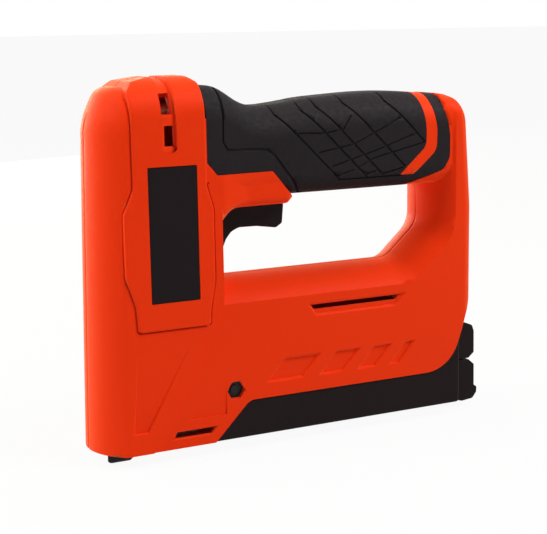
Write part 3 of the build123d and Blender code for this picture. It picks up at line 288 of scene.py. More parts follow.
@dataclass(frozen=True)
class Finish:
    """A surface finish, and how its material is made.

    Attributes:
        name: The material's name.
        slot: Name of the record's material slot for this finish; not used.
        colour: Base colour, linear.
        rough: Roughness where the surface is glossiest and dullest.
        grain: Grain marks for each metre.
        depth: Height of the grain in metres.
        drift: How far the shade changes over the surface.
        metallic: 1 for bare metal.
        specular: Strength of the plain reflection.
        coat: Strength of a clear layer over the surface.
        sheen: Soft glow of a matt surface seen along it.
        sheen_tint: Colour of that glow.
    """

    name: str
    slot: str
    colour: Triple
    rough: tuple[float, float]
    grain: float
    depth: float
    drift: float
    metallic: float = 0.0
    specular: float = 0.5
    coat: float = 0.0
    sheen: float = 0.0
    sheen_tint: Triple = (1.0, 1.0, 1.0)

    def material(self) -> bpy.types.Material:
        """Gives the finish's material, made at its first use.

        Returns:
            The material.
        """
        found = bpy.data.materials.get(self.name)
        if found is not None:
            return found
        made = bpy.data.materials.new(self.name)
        made.use_nodes = True
        wiring = Wiring(made.node_tree)
        place = wiring.add("ShaderNodeTexCoord").outputs["Object"]
        height, gloss = self.relief(wiring, place)
        inputs = {"Place": place, "Colour": (*self.colour, 1.0), "Amount": self.drift}
        shade = wiring.add("ShaderNodeGroup", inputs, node_tree=Effects.drift())
        bump = wiring.add("ShaderNodeBump", {"Strength": 1.0, "Distance": self.depth, "Height": height})
        inputs = {
            "Base Color": shade.outputs["Colour"],
            "Roughness": wiring.spread(gloss, 0.0, 1.0, self.rough[0], self.rough[1]),
            "Normal": bump.outputs["Normal"],
            "Metallic": self.metallic,
            "Specular IOR Level": self.specular,
            "Coat Weight": self.coat,
            "Sheen Weight": self.sheen,
            "Sheen Tint": (*self.sheen_tint, 1.0),
        }
        shader = wiring.add("ShaderNodeBsdfPrincipled", inputs)
        wiring.add("ShaderNodeOutputMaterial", {"Surface": shader.outputs["BSDF"]})
        return made

    def relief(self, wiring: Wiring, place: Socket) -> tuple[Socket, Socket]:
        """Makes the surface's height and gloss mask.

        Args:
            wiring: The material's nodes.
            place: Object coordinates.

        Returns:
            The height's and the gloss mask's sockets.
        """
        inputs = {"Place": place, "Scale": self.grain}
        grain = wiring.add("ShaderNodeGroup", inputs, node_tree=Effects.grain())
        return grain.outputs["Height"], grain.outputs["Gloss"]


@dataclass(frozen=True)
class DrawnMetal(Finish):
    """Metal with lines along its length."""

    metallic: float = 1.0

    def relief(self, wiring: Wiring, place: Socket) -> tuple[Socket, Socket]:
        """Makes the streaks' height and gloss mask.

        Args:
            wiring: The material's nodes.
            place: Object coordinates.

        Returns:
            The height's and the gloss mask's sockets.
        """
        inputs = {"Place": place, "Scale": self.grain}
        lines = wiring.add("ShaderNodeGroup", inputs, node_tree=Effects.streaks())
        return lines.outputs["Height"], lines.outputs["Height"]


ORANGE = Finish(
    "orange_moulding", "orange_plastic", (0.87, 0.032, 0.0015), (0.42, 0.56), 2600.0, 0.012 * MM, 0.03,
    specular=0.05, sheen=0.30, sheen_tint=(1.0, 0.62, 0.22),
)
RUBBER = Finish(
    "grip_rubber", "black_rubber", (0.0140, 0.0108, 0.0120), (0.56, 0.74), 1900.0, 0.030 * MM, 0.16,
    specular=0.10,
)
BLACK = Finish(
    "black_moulding", "black_plastic", (0.0120, 0.0072, 0.0076), (0.48, 0.64), 1700.0, 0.030 * MM, 0.14,
    specular=0.08,
)
LABEL = Finish(
    "label_sheet", "label_film", (0.0125, 0.0085, 0.0095), (0.52, 0.62), 3200.0, 0.006 * MM, 0.12,
    specular=0.06,
)
WHITE = Finish(
    "white_moulding", "white_plastic", (0.70, 0.68, 0.63), (0.36, 0.50), 2400.0, 0.012 * MM, 0.05,
)
CELL = Finish(
    "cell_sleeve", "cell_wrap", (0.05, 0.17, 0.42), (0.22, 0.34), 900.0, 0.010 * MM, 0.08, coat=0.3,
)
BOARD = Finish(
    "solder_mask", "circuit_green", (0.02, 0.16, 0.06), (0.24, 0.38), 1600.0, 0.012 * MM, 0.18, coat=0.3,
)
RED_WIRE = Finish(
    "red_wire_cover", "wire_red", (0.55, 0.02, 0.015), (0.34, 0.48), 2600.0, 0.008 * MM, 0.08,
)
BLACK_WIRE = Finish(
    "black_wire_cover", "wire_black", (0.02, 0.02, 0.022), (0.34, 0.48), 2600.0, 0.008 * MM, 0.1,
)
MAGNET = Finish(
    "ferrite", "magnet_grey", (0.10, 0.10, 0.11), (0.50, 0.68), 3000.0, 0.02 * MM, 0.2,
)
PLATED = DrawnMetal(
    "bright_plating", "bright_steel", (0.56, 0.56, 0.57), (0.22, 0.40), 900.0, 0.006 * MM, 0.10,
)
DARK_STEEL = DrawnMetal(
    "hardened_steel", "dark_steel", (0.17, 0.17, 0.18), (0.28, 0.46), 700.0, 0.008 * MM, 0.16,
)
SPRING = DrawnMetal(
    "spring_wire", "spring_steel", (0.40, 0.40, 0.42), (0.20, 0.36), 1200.0, 0.005 * MM, 0.10,
)
BRASS = DrawnMetal(
    "cut_brass", "brass_gear", (0.70, 0.48, 0.20), (0.22, 0.38), 1100.0, 0.006 * MM, 0.08,
)
COPPER = DrawnMetal(
    "varnished_copper", "copper_winding", (0.62, 0.26, 0.12), (0.24, 0.38), 1500.0, 0.02 * MM, 0.2,
)
SINTERED = Finish(
    "sintered_steel", "sintered_gear", (0.26, 0.26, 0.27), (0.34, 0.52), 3200.0, 0.012 * MM, 0.14,
    metallic=1.0,
)
BLACKENED = Finish(
    "black_oxide", "zinc_screw", (0.026, 0.023, 0.024), (0.36, 0.52), 2600.0, 0.010 * MM, 0.16,
    metallic=1.0,
)
PHOSPHATED = Finish(
    "phosphated_steel", "dark_steel", (0.022, 0.019, 0.020), (0.46, 0.62), 2200.0, 0.012 * MM, 0.18,
    metallic=1.0,
)


@dataclass(frozen=True)
class Lamp:
    """A soft lamp of the studio.

    Attributes:
        name: The lamp's name.
        place: Where it hangs.
        size: Its width and height, in metres.
        power: Its power in watts.
        tone: Its colour, linear.
    """

    name: str
    place: Triple
    size: tuple[float, float]
    power: float
    tone: Triple = (1.0, 1.0, 1.0)


LAMPS = (
    Lamp("side_lamp", (0.72, -0.60, 1.00), (0.50, 0.50), 12.8),
    Lamp("front_lamp", (-0.85, 0.05, 0.75), (0.45, 0.45), 7.6, (1.0, 0.97, 0.92)),
    Lamp("back_lamp", (-0.20, 1.10, 0.25), (1.50, 0.60), 20.0, (1.0, 0.88, 0.70)),
    Lamp("top_lamp", (-0.10, 0.10, 1.15), (0.60, 0.60), 4.0),
)


@dataclass
class Studio:
    """Camera at the photograph's angle, soft light and a pale floor.

    Attributes:
        azimuth: Turn of the camera round the object, in degrees.
        elevation: Height of the camera over the horizon, in degrees.
        roll: Tilt of the picture, in degrees.
        distance: Distance to the point that the camera looks at, in metres.
        target: Point that the camera looks at.
        focal_pixels: Focal length in pixels of the photograph's frame.
        frame_width: Width of the photograph's frame in pixels.
        sensor: Width of the camera's sensor in millimetres.
        nearest: Distance from which the camera sees, in metres.
        farthest: Distance to which the camera sees, in metres.
        lamp_aim: Point that the lamps shine at.
        ambient: Strength of the even light from all round.
        floor_half: Half the floor's width, in metres.
        floor_gap: Gap between the floor and the object's lowest point, in metres.
        paper: Lightness of the floor's paper.
        clear: Share of white that the camera and reflections see in place of the paper.
    """

    azimuth: float = -26.0
    elevation: float = 10.5
    roll: float = -1.0
    distance: float = 0.54
    target: Vector = field(default_factory=lambda: Vector((0.06502, -0.02540, 0.07907)))
    focal_pixels: float = 1300.0
    frame_width: float = 547.0
    sensor: float = 36.0
    nearest: float = 0.01
    farthest: float = 50.0
    lamp_aim: Vector = field(default_factory=lambda: Vector((0.08, 0.0, 0.08)))
    ambient: float = 0.11
    floor_half: float = 40.0
    floor_gap: float = 0.0002
    paper: float = 0.62
    clear: float = 0.94

    def build(self) -> None:
        """Makes the camera, the lamps, the world and the floor."""
        self.camera()
        self.lamps()
        self.world()
        self.floor()
        bpy.context.scene.view_settings.view_transform = "Standard"

    def back(self) -> Vector:
        """Gives the direction from the object to the camera.

        Returns:
            The direction, of length 1.
        """
        turn = math.radians(self.azimuth)
        rise = math.radians(self.elevation)
        return Vector((math.sin(turn) * math.cos(rise), -math.cos(turn) * math.cos(rise), math.sin(rise)))

    def camera(self) -> None:
        """Places the camera and sets its lens."""
        data = bpy.data.cameras.new("studio_camera")
        data.sensor_width = self.sensor
        data.lens = self.focal_pixels / self.frame_width * self.sensor
        data.clip_start = self.nearest
        data.clip_end = self.farthest
        camera = bpy.data.objects.new("studio_camera", data)
        bpy.context.scene.collection.objects.link(camera)
        facing = (-self.back()).to_track_quat("-Z", "Y").to_matrix().to_4x4()
        tilt = Matrix.Rotation(math.radians(self.roll), 4, "Z")
        camera.matrix_world = Matrix.Translation(self.target + self.back() * self.distance) @ facing @ tilt
        bpy.context.scene.camera = camera

    def lamps(self) -> None:
        """Hangs the soft lamps."""
        for plan in LAMPS:
            data = bpy.data.lights.new(plan.name, "AREA")
            data.shape = "RECTANGLE"
            data.size, data.size_y = plan.size
            data.energy = plan.power
            data.color = plan.tone
            lamp = bpy.data.objects.new(plan.name, data)
            lamp.visible_camera = False
            bpy.context.scene.collection.objects.link(lamp)
            lamp.location = plan.place
            aim = self.lamp_aim - Vector(plan.place)
            lamp.rotation_euler = aim.to_track_quat("-Z", "Y").to_euler()

    @staticmethod
    def seen(wiring: Wiring) -> Socket:
        """Gives 1 where the camera sees a surface, straight, mirrored or through glass.

        Args:
            wiring: The nodes of the surface or the world.

        Returns:
            The value's socket.
        """
        path = wiring.add("ShaderNodeLightPath").outputs
        mirrored = wiring.math("MAXIMUM", path["Is Glossy Ray"], path["Is Transmission Ray"])
        return wiring.math("MAXIMUM", path["Is Camera Ray"], mirrored)

    def world(self) -> None:
        """Even light all round, white where the camera and reflections see it."""
        world = bpy.data.worlds.new("studio_world")
        bpy.context.scene.world = world
        world.use_nodes = True
        wiring = Wiring(world.node_tree)
        strength = wiring.spread(self.seen(wiring), 0.0, 1.0, self.ambient, 1.0)
        sky = wiring.add("ShaderNodeBackground", {"Color": (1.0, 1.0, 1.0, 1.0), "Strength": strength})
        wiring.add("ShaderNodeOutputWorld", {"Surface": sky.outputs[0]})

    def floor(self) -> None:
        """Lays the pale floor under the object's lowest point."""
        half = self.floor_half
        level = CAD_BOX[0].z - self.floor_gap
        corners = [(-half, -half, level), (half, -half, level), (half, half, level), (-half, half, level)]
        mesh = bpy.data.meshes.new("studio_floor")
        mesh.from_pydata(corners, [], [(0, 1, 2, 3)])
        floor = bpy.data.objects.new("studio_floor", mesh)
        bpy.context.scene.collection.objects.link(floor)
        made = bpy.data.materials.new("pale_floor")
        made.use_nodes = True
        wiring = Wiring(made.node_tree)
        shade = (self.paper, self.paper, self.paper, 1.0)
        inputs = {"Base Color": shade, "Roughness": 0.9, "Specular IOR Level": 0.1}
        paper = wiring.add("ShaderNodeBsdfPrincipled", inputs)
        glow = wiring.add("ShaderNodeEmission", {"Color": (1.0, 1.0, 1.0, 1.0), "Strength": 1.0})
        share = wiring.math("MULTIPLY", self.seen(wiring), self.clear)
        mixed = wiring.add("ShaderNodeMixShader", {0: share, 1: paper.outputs[0], 2: glow.outputs[0]})
        wiring.add("ShaderNodeOutputMaterial", {"Surface": mixed.outputs[0]})
        mesh.materials.append(made)


@dataclass
class Pattern:
    """A Geometry Nodes tree that grows one shape along +Z by a rule and sets it on given points.

    Attributes:
        name: The tree's name.
        sizes: Named inputs of the tree with their values.
    """

    name: str
    sizes: dict[str, float | int]

    def unit(self, wiring: Wiring, given: Node) -> Socket:
        """Makes the shape that is set on the points.

        Args:
            wiring: The tree's nodes.
            given: The node that holds the tree's inputs.

        Returns:
            The shape's socket.
        """
        raise NotImplementedError

    def tree(self) -> Tree:
        """Gives the tree, built at its first use.

        Returns:
            The tree.
        """
        found = bpy.data.node_groups.get(self.name)
        if found is not None:
            return found
        made = bpy.data.node_groups.new(self.name, "GeometryNodeTree")
        sockets = {"Points": "NodeSocketGeometry", "Finish": "NodeSocketMaterial", "Axis": "NodeSocketVector"}
        for label, value in self.sizes.items():
            sockets[label] = "NodeSocketInt" if isinstance(value, int) else "NodeSocketFloat"
        for label, kind in sockets.items():
            made.interface.new_socket(label, in_out="INPUT", socket_type=kind)
        made.interface.new_socket("Geometry", in_out="OUTPUT", socket_type="NodeSocketGeometry")
        wiring = Wiring(made)
        given = wiring.add("NodeGroupInput")
        turn = wiring.add("FunctionNodeAlignRotationToVector", {"Vector": given.outputs["Axis"]}, axis="Z")
        inputs = {
            "Points": given.outputs["Points"],
            "Instance": self.unit(wiring, given),
            "Rotation": turn.outputs[0],
        }
        placed = wiring.add("GeometryNodeInstanceOnPoints", inputs)
        whole = wiring.add("GeometryNodeRealizeInstances", {"Geometry": placed.outputs[0]})
        inputs = {"Geometry": whole.outputs[0], "Material": given.outputs["Finish"]}
        dressed = wiring.add("GeometryNodeSetMaterial", inputs)
        wiring.add("NodeGroupOutput", {"Geometry": dressed.outputs[0]})
        return made

    def grow(self, name: str, points: list[Vector], axis: Vector, finish: Finish) -> Piece:
        """Starts a piece that the tree fills.

        Args:
            name: The piece's name.
            points: Where the shape is set.
            axis: Direction that the shape's +Z takes.
            finish: The piece's finish.

        Returns:
            The piece, with its tree still live.
        """
        mesh = bpy.data.meshes.new(name)
        mesh.from_pydata([tuple(point) for point in points], [], [])
        piece = bpy.data.objects.new(name, mesh)
        bpy.context.scene.collection.objects.link(piece)
        values = {"Finish": finish.material(), "Axis": tuple(axis), **self.sizes}
        modifier = piece.modifiers.new(self.name, "NODES")
        modifier.node_group = self.tree()
        for item in modifier.node_group.interface.items_tree:
            if item.in_out == "INPUT" and item.name in values:
                modifier[item.identifier] = values[item.name]
        return piece

    @staticmethod
    def ring(wiring: Wiring, shape: Socket, count: Socket) -> Socket:
        """Sets copies of a shape evenly round +Z.

        Args:
            wiring: The tree's nodes.
            shape: The shape's socket.
            count: How many copies there are.

        Returns:
            The copies' socket.
        """
        points = wiring.add("GeometryNodeMeshLine", {"Count": count, "Offset": (0.0, 0.0, 0.0)})
        index = wiring.add("GeometryNodeInputIndex").outputs[0]
        step = wiring.math("DIVIDE", math.tau, count)
        turn = wiring.add("ShaderNodeCombineXYZ", {"Z": wiring.math("MULTIPLY", index, step)})
        inputs = {"Points": points.outputs[0], "Instance": shape, "Rotation": turn.outputs[0]}
        return wiring.add("GeometryNodeInstanceOnPoints", inputs).outputs[0]

    @staticmethod
    def off_middle(wiring: Wiring, turn: Socket, poles: Socket) -> Socket:
        """Gives how far a place round a rotor is from the middle of its pole, 0 to 0.5.

        Args:
            wiring: The tree's nodes.
            turn: The place, 0 to 1 round the rotor.
            poles: How many poles there are.

        Returns:
            The distance's socket, as a share of a pole's turn.
        """
        wave = wiring.math("FRACT", wiring.math("MULTIPLY", turn, poles))
        return wiring.math("ABSOLUTE", wiring.math("SUBTRACT", wave, 0.5))

    @staticmethod
    def shaped_rod(wiring: Wiring, length: Socket, rounds: int, steps: int, rule: Rule) -> Socket:
        """Makes a closed rod from z = 0 downwards whose radius follows a rule.

        Args:
            wiring: The tree's nodes.
            length: The rod's length.
            rounds: Points round the rod.
            steps: Faces along the rod.
            rule: Gives the radius from sockets for the depth below z = 0 and for the turn, 0 to 1.

        Returns:
            The rod's socket.
        """
        inputs = {"Vertices": rounds, "Side Segments": steps, "Radius": 1.0, "Depth": length}
        rod = wiring.add("GeometryNodeMeshCylinder", inputs, fill_type="NGON")
        place = wiring.add("ShaderNodeSeparateXYZ", {0: wiring.add("GeometryNodeInputPosition").outputs[0]})
        depth = wiring.math("SUBTRACT", wiring.math("MULTIPLY", length, 0.5), place.outputs["Z"])
        angle = wiring.math("ARCTAN2", place.outputs["Y"], place.outputs["X"])
        turn = wiring.math("FRACT", wiring.math("ADD", wiring.math("DIVIDE", angle, math.tau), 1.0))
        radius = rule(depth, turn)
        moved = wiring.add("ShaderNodeCombineXYZ", {
            "X": wiring.math("MULTIPLY", place.outputs["X"], radius),
            "Y": wiring.math("MULTIPLY", place.outputs["Y"], radius),
            "Z": wiring.math("MULTIPLY", depth, -1.0),
        })
        inputs = {"Geometry": rod.outputs["Mesh"], "Position": moved.outputs[0]}
        return wiring.add("GeometryNodeSetPosition", inputs).outputs[0]


@dataclass
class WoundWire(Pattern):
    """Wire or strip wound into a helix or a flat spiral, with its first turn at z = 0.

    Attributes:
        corner_points: Points round each corner of the wire's section.
    """

    corner_points: int = 3

    def unit(self, wiring: Wiring, given: Node) -> Socket:
        """Sweeps the wire's section along its turns.

        Args:
            wiring: The tree's nodes.
            given: The node that holds the tree's inputs.

        Returns:
            The wire's socket.
        """
        inputs = {
            "Resolution": given.outputs["Steps"],
            "Rotations": given.outputs["Turns"],
            "Start Radius": given.outputs["First Radius"],
            "End Radius": given.outputs["Last Radius"],
            "Height": given.outputs["Rise"],
        }
        path = wiring.add("GeometryNodeCurveSpiral", inputs)
        upright = wiring.add("GeometryNodeSetCurveNormal", {"Curve": path.outputs[0]}, mode="Z_UP")
        inputs = {"Width": given.outputs["Across"], "Height": given.outputs["Along"]}
        section = wiring.add("GeometryNodeCurvePrimitiveQuadrilateral", inputs)
        inputs = {
            "Curve": section.outputs[0],
            "Count": self.corner_points,
            "Radius": given.outputs["Corner"],
            "Limit Radius": True,
        }
        rounded = wiring.add("GeometryNodeFilletCurve", inputs, mode="POLY")
        inputs = {"Curve": upright.outputs[0], "Profile Curve": rounded.outputs[0], "Fill Caps": True}
        return wiring.add("GeometryNodeCurveToMesh", inputs).outputs[0]


@dataclass
class CrossScrew(Pattern):
    """Thread-forming screw with a pan head, the head's top at z = 0.

    Attributes:
        crown: Radius at the head's top as a share of the head's radius.
        curl: Power by which the head's side curls in towards the top.
        root: Radius between the thread's turns as a share of the thread's radius.
        ridge: Power that makes the thread's ridge narrow.
        point: Length of the screw's point in thread radii.
        tip: Radius at the tip as a share of the thread's radius.
        arm_length: Length of the cross as a share of the head's radius.
        arm_width: Width of the cross's arms as a share of the head's radius.
        rounds: Points round the screw.
        steps: Faces along the screw.
    """

    crown: float = 0.74
    curl: float = 3.0
    root: float = 0.72
    ridge: float = 2.0
    point: float = 1.6
    tip: float = 0.12
    arm_length: float = 1.2
    arm_width: float = 0.3
    rounds: int = 28
    steps: int = 120

    def unit(self, wiring: Wiring, given: Node) -> Socket:
        """Shapes the screw and cuts the cross into its head.

        Args:
            wiring: The tree's nodes.
            given: The node that holds the tree's inputs.

        Returns:
            The screw's socket.
        """
        size = given.outputs

        def radius(depth: Socket, turn: Socket) -> Socket:
            """Gives the head's dome, the thread and the point.

            Args:
                depth: Depth below z = 0.
                turn: Place round the rod, 0 to 1.

            Returns:
                The radius.
            """
            share = wiring.math("DIVIDE", depth, size["Head Height"])
            above = wiring.math("SUBTRACT", 1.0, wiring.math("MINIMUM", share, 1.0))
            rise = wiring.math("POWER", above, self.curl)
            dome = wiring.spread(rise, 0.0, 1.0, 1.0, self.crown)
            head = wiring.math("MULTIPLY", size["Head Radius"], dome)
            climb = wiring.math("DIVIDE", depth, size["Pitch"])
            wave = wiring.math("FRACT", wiring.math("ADD", climb, turn))
            ridge = wiring.math("ABSOLUTE", wiring.math("SUBTRACT", wiring.math("MULTIPLY", wave, 2.0), 1.0))
            ridge = wiring.math("POWER", ridge, self.ridge)
            core = wiring.math("MULTIPLY", size["Radius"], self.root)
            thread = wiring.spread(ridge, 0.0, 1.0, core, size["Radius"])
            left = wiring.math("DIVIDE", wiring.math("SUBTRACT", size["Length"], depth), size["Radius"])
            shank = wiring.math("MULTIPLY", thread, wiring.spread(left, 0.0, self.point, self.tip, 1.0))
            below = wiring.math("GREATER_THAN", share, 1.0)
            return wiring.spread(below, 0.0, 1.0, head, shank)

        screw = self.shaped_rod(wiring, size["Length"], self.rounds, self.steps, radius)
        inputs = {"Mesh 1": screw}
        boolean = wiring.add("GeometryNodeMeshBoolean", inputs, operation="DIFFERENCE", solver="EXACT")
        long = wiring.math("MULTIPLY", size["Head Radius"], self.arm_length)
        thin = wiring.math("MULTIPLY", size["Head Radius"], self.arm_width)
        for across, up in ((long, thin), (thin, long)):
            box = wiring.add("ShaderNodeCombineXYZ", {"X": across, "Y": up, "Z": size["Head Height"]})
            arm = wiring.add("GeometryNodeMeshCube", {"Size": box.outputs[0]})
            wiring.tree.links.new(arm.outputs["Mesh"], boolean.inputs["Mesh 2"])
        return boolean.outputs["Mesh"]


@dataclass
class RotorCore(Pattern):
    """Slotted stack of the motor's rotor on its shaft, with the stack's end at z = 0.

    Attributes:
        pole_half: Half of a pole's width as a share of its turn.
        sheet_share: Share of a sheet's pitch that reaches the full radius.
        rounds: Points round the stack.
        steps: Faces along the stack.
        shaft_rounds: Points round the shaft.
    """

    pole_half: float = 0.42
    sheet_share: float = 0.5
    rounds: int = 120
    steps: int = 88
    shaft_rounds: int = 24

    def unit(self, wiring: Wiring, given: Node) -> Socket:
        """Makes the shaft and the slotted stack.

        Args:
            wiring: The tree's nodes.
            given: The node that holds the tree's inputs.

        Returns:
            The core's socket.
        """
        size = given.outputs

        def stack(depth: Socket, turn: Socket) -> Socket:
            """Gives the poles, the slots between them and the edges of the sheets.

            Args:
                depth: Depth below z = 0.
                turn: Place round the rod, 0 to 1.

            Returns:
                The radius.
            """
            slot = wiring.math("GREATER_THAN", self.off_middle(wiring, turn, size["Poles"]), self.pole_half)
            sheet = wiring.math("FRACT", wiring.math("DIVIDE", depth, size["Sheet"]))
            cut = wiring.math("GREATER_THAN", sheet, self.sheet_share)
            pole = wiring.math("SUBTRACT", size["Radius"], wiring.math("MULTIPLY", cut, size["Groove"]))
            return wiring.spread(slot, 0.0, 1.0, pole, size["Slot Radius"])

        core = self.shaped_rod(wiring, size["Length"], self.rounds, self.steps, stack)
        inputs = {
            "Vertices": self.shaft_rounds,
            "Radius": size["Shaft Radius"],
            "Depth": size["Shaft Length"],
        }
        shaft = wiring.add("GeometryNodeMeshCylinder", inputs, fill_type="NGON")
        place = wiring.add("ShaderNodeCombineXYZ", {"Z": size["Shaft Middle"]})
        inputs = {"Geometry": shaft.outputs["Mesh"], "Translation": place.outputs[0]}
        moved = wiring.add("GeometryNodeTransform", inputs)
        joined = wiring.add("GeometryNodeJoinGeometry", {"Geometry": moved.outputs[0]})
        wiring.tree.links.new(core, joined.inputs["Geometry"])
        return joined.outputs[0]


@dataclass
class RotorWinding(Pattern):
    """Wire loops round the rotor's poles and the bars that feed them, with the stack's end at z = 0.

    Attributes:
        corner_points: Points round each corner of a loop.
        strands: Strands that show round a loop's bundle of wires.
        strand_root: Radius between the strands as a share of the bundle's radius.
        bar_half: Half of a bar's width as a share of its turn.
        bar_root: Radius between the bars as a share of the bars' radius.
        rounds: Points round the bars.
        steps: Faces along the bars.
    """

    corner_points: int = 6
    strands: int = 11
    strand_root: float = 0.86
    bar_half: float = 0.46
    bar_root: float = 0.9
    rounds: int = 120
    steps: int = 2

    def unit(self, wiring: Wiring, given: Node) -> Socket:
        """Winds one loop for each pole and adds the commutator.

        Args:
            wiring: The tree's nodes.
            given: The node that holds the tree's inputs.

        Returns:
            The winding's socket.
        """
        size = given.outputs
        inputs = {"Width": size["Loop Length"], "Height": size["Loop Width"]}
        path = wiring.add("GeometryNodeCurvePrimitiveQuadrilateral", inputs)
        inputs = {
            "Curve": path.outputs[0],
            "Count": self.corner_points,
            "Radius": size["Bend"],
            "Limit Radius": True,
        }
        bent = wiring.add("GeometryNodeFilletCurve", inputs, mode="POLY")
        inner = wiring.math("MULTIPLY", size["Bundle"], self.strand_root)
        inputs = {"Points": self.strands, "Inner Radius": inner, "Outer Radius": size["Bundle"]}
        strands = wiring.add("GeometryNodeCurveStar", inputs)
        inputs = {"Curve": bent.outputs[0], "Profile Curve": strands.outputs[0]}
        loop = wiring.add("GeometryNodeCurveToMesh", inputs)
        middle = wiring.math("MULTIPLY", size["Length"], -0.5)
        place = wiring.add("ShaderNodeCombineXYZ", {"X": size["Loop Radius"], "Z": middle})
        inputs = {
            "Geometry": loop.outputs[0],
            "Translation": place.outputs[0],
            "Rotation": (0.0, math.pi / 2, 0.0),
        }
        stood = wiring.add("GeometryNodeTransform", inputs)

        def bars(depth: Socket, turn: Socket) -> Socket:
            """Gives the commutator's bars and the gaps between them, the same at every depth.

            Args:
                depth: Depth below z = 0.
                turn: Place round the rod, 0 to 1.

            Returns:
                The radius.
            """
            gap = wiring.math("GREATER_THAN", self.off_middle(wiring, turn, size["Poles"]), self.bar_half)
            root = wiring.math("MULTIPLY", size["Bar Radius"], self.bar_root)
            return wiring.spread(gap, 0.0, 1.0, size["Bar Radius"], root)

        drum = self.shaped_rod(wiring, size["Bar Length"], self.rounds, self.steps, bars)
        rise = wiring.add("ShaderNodeCombineXYZ", {"Z": size["Bar Length"]})
        raised = wiring.add("GeometryNodeTransform", {"Geometry": drum, "Translation": rise.outputs[0]})
        joined = wiring.add("GeometryNodeJoinGeometry", {"Geometry": raised.outputs[0]})
        wiring.tree.links.new(self.ring(wiring, stood.outputs[0], size["Poles"]), joined.inputs["Geometry"])
        return joined.outputs[0]


@dataclass(frozen=True)
class Winding:
    """How a spring is wound.

    Attributes:
        axis: Number of the axis that its turns follow: 0 for X, 1 for Y, 2 for Z.
        turns: Number of turns.
        across: The wire's size away from the axis, in metres.
        along: The wire's size along the axis, in metres.
        rounding: Corner radius as a share of the wire's smaller size.
        bore: Radius inside the first turn of a flat spiral, or None for a helix.
        steps: Points for each turn.
    """

    axis: int
    turns: float
    across: float
    along: float
    rounding: float = 0.45
    bore: float | None = None
    steps: int = 40


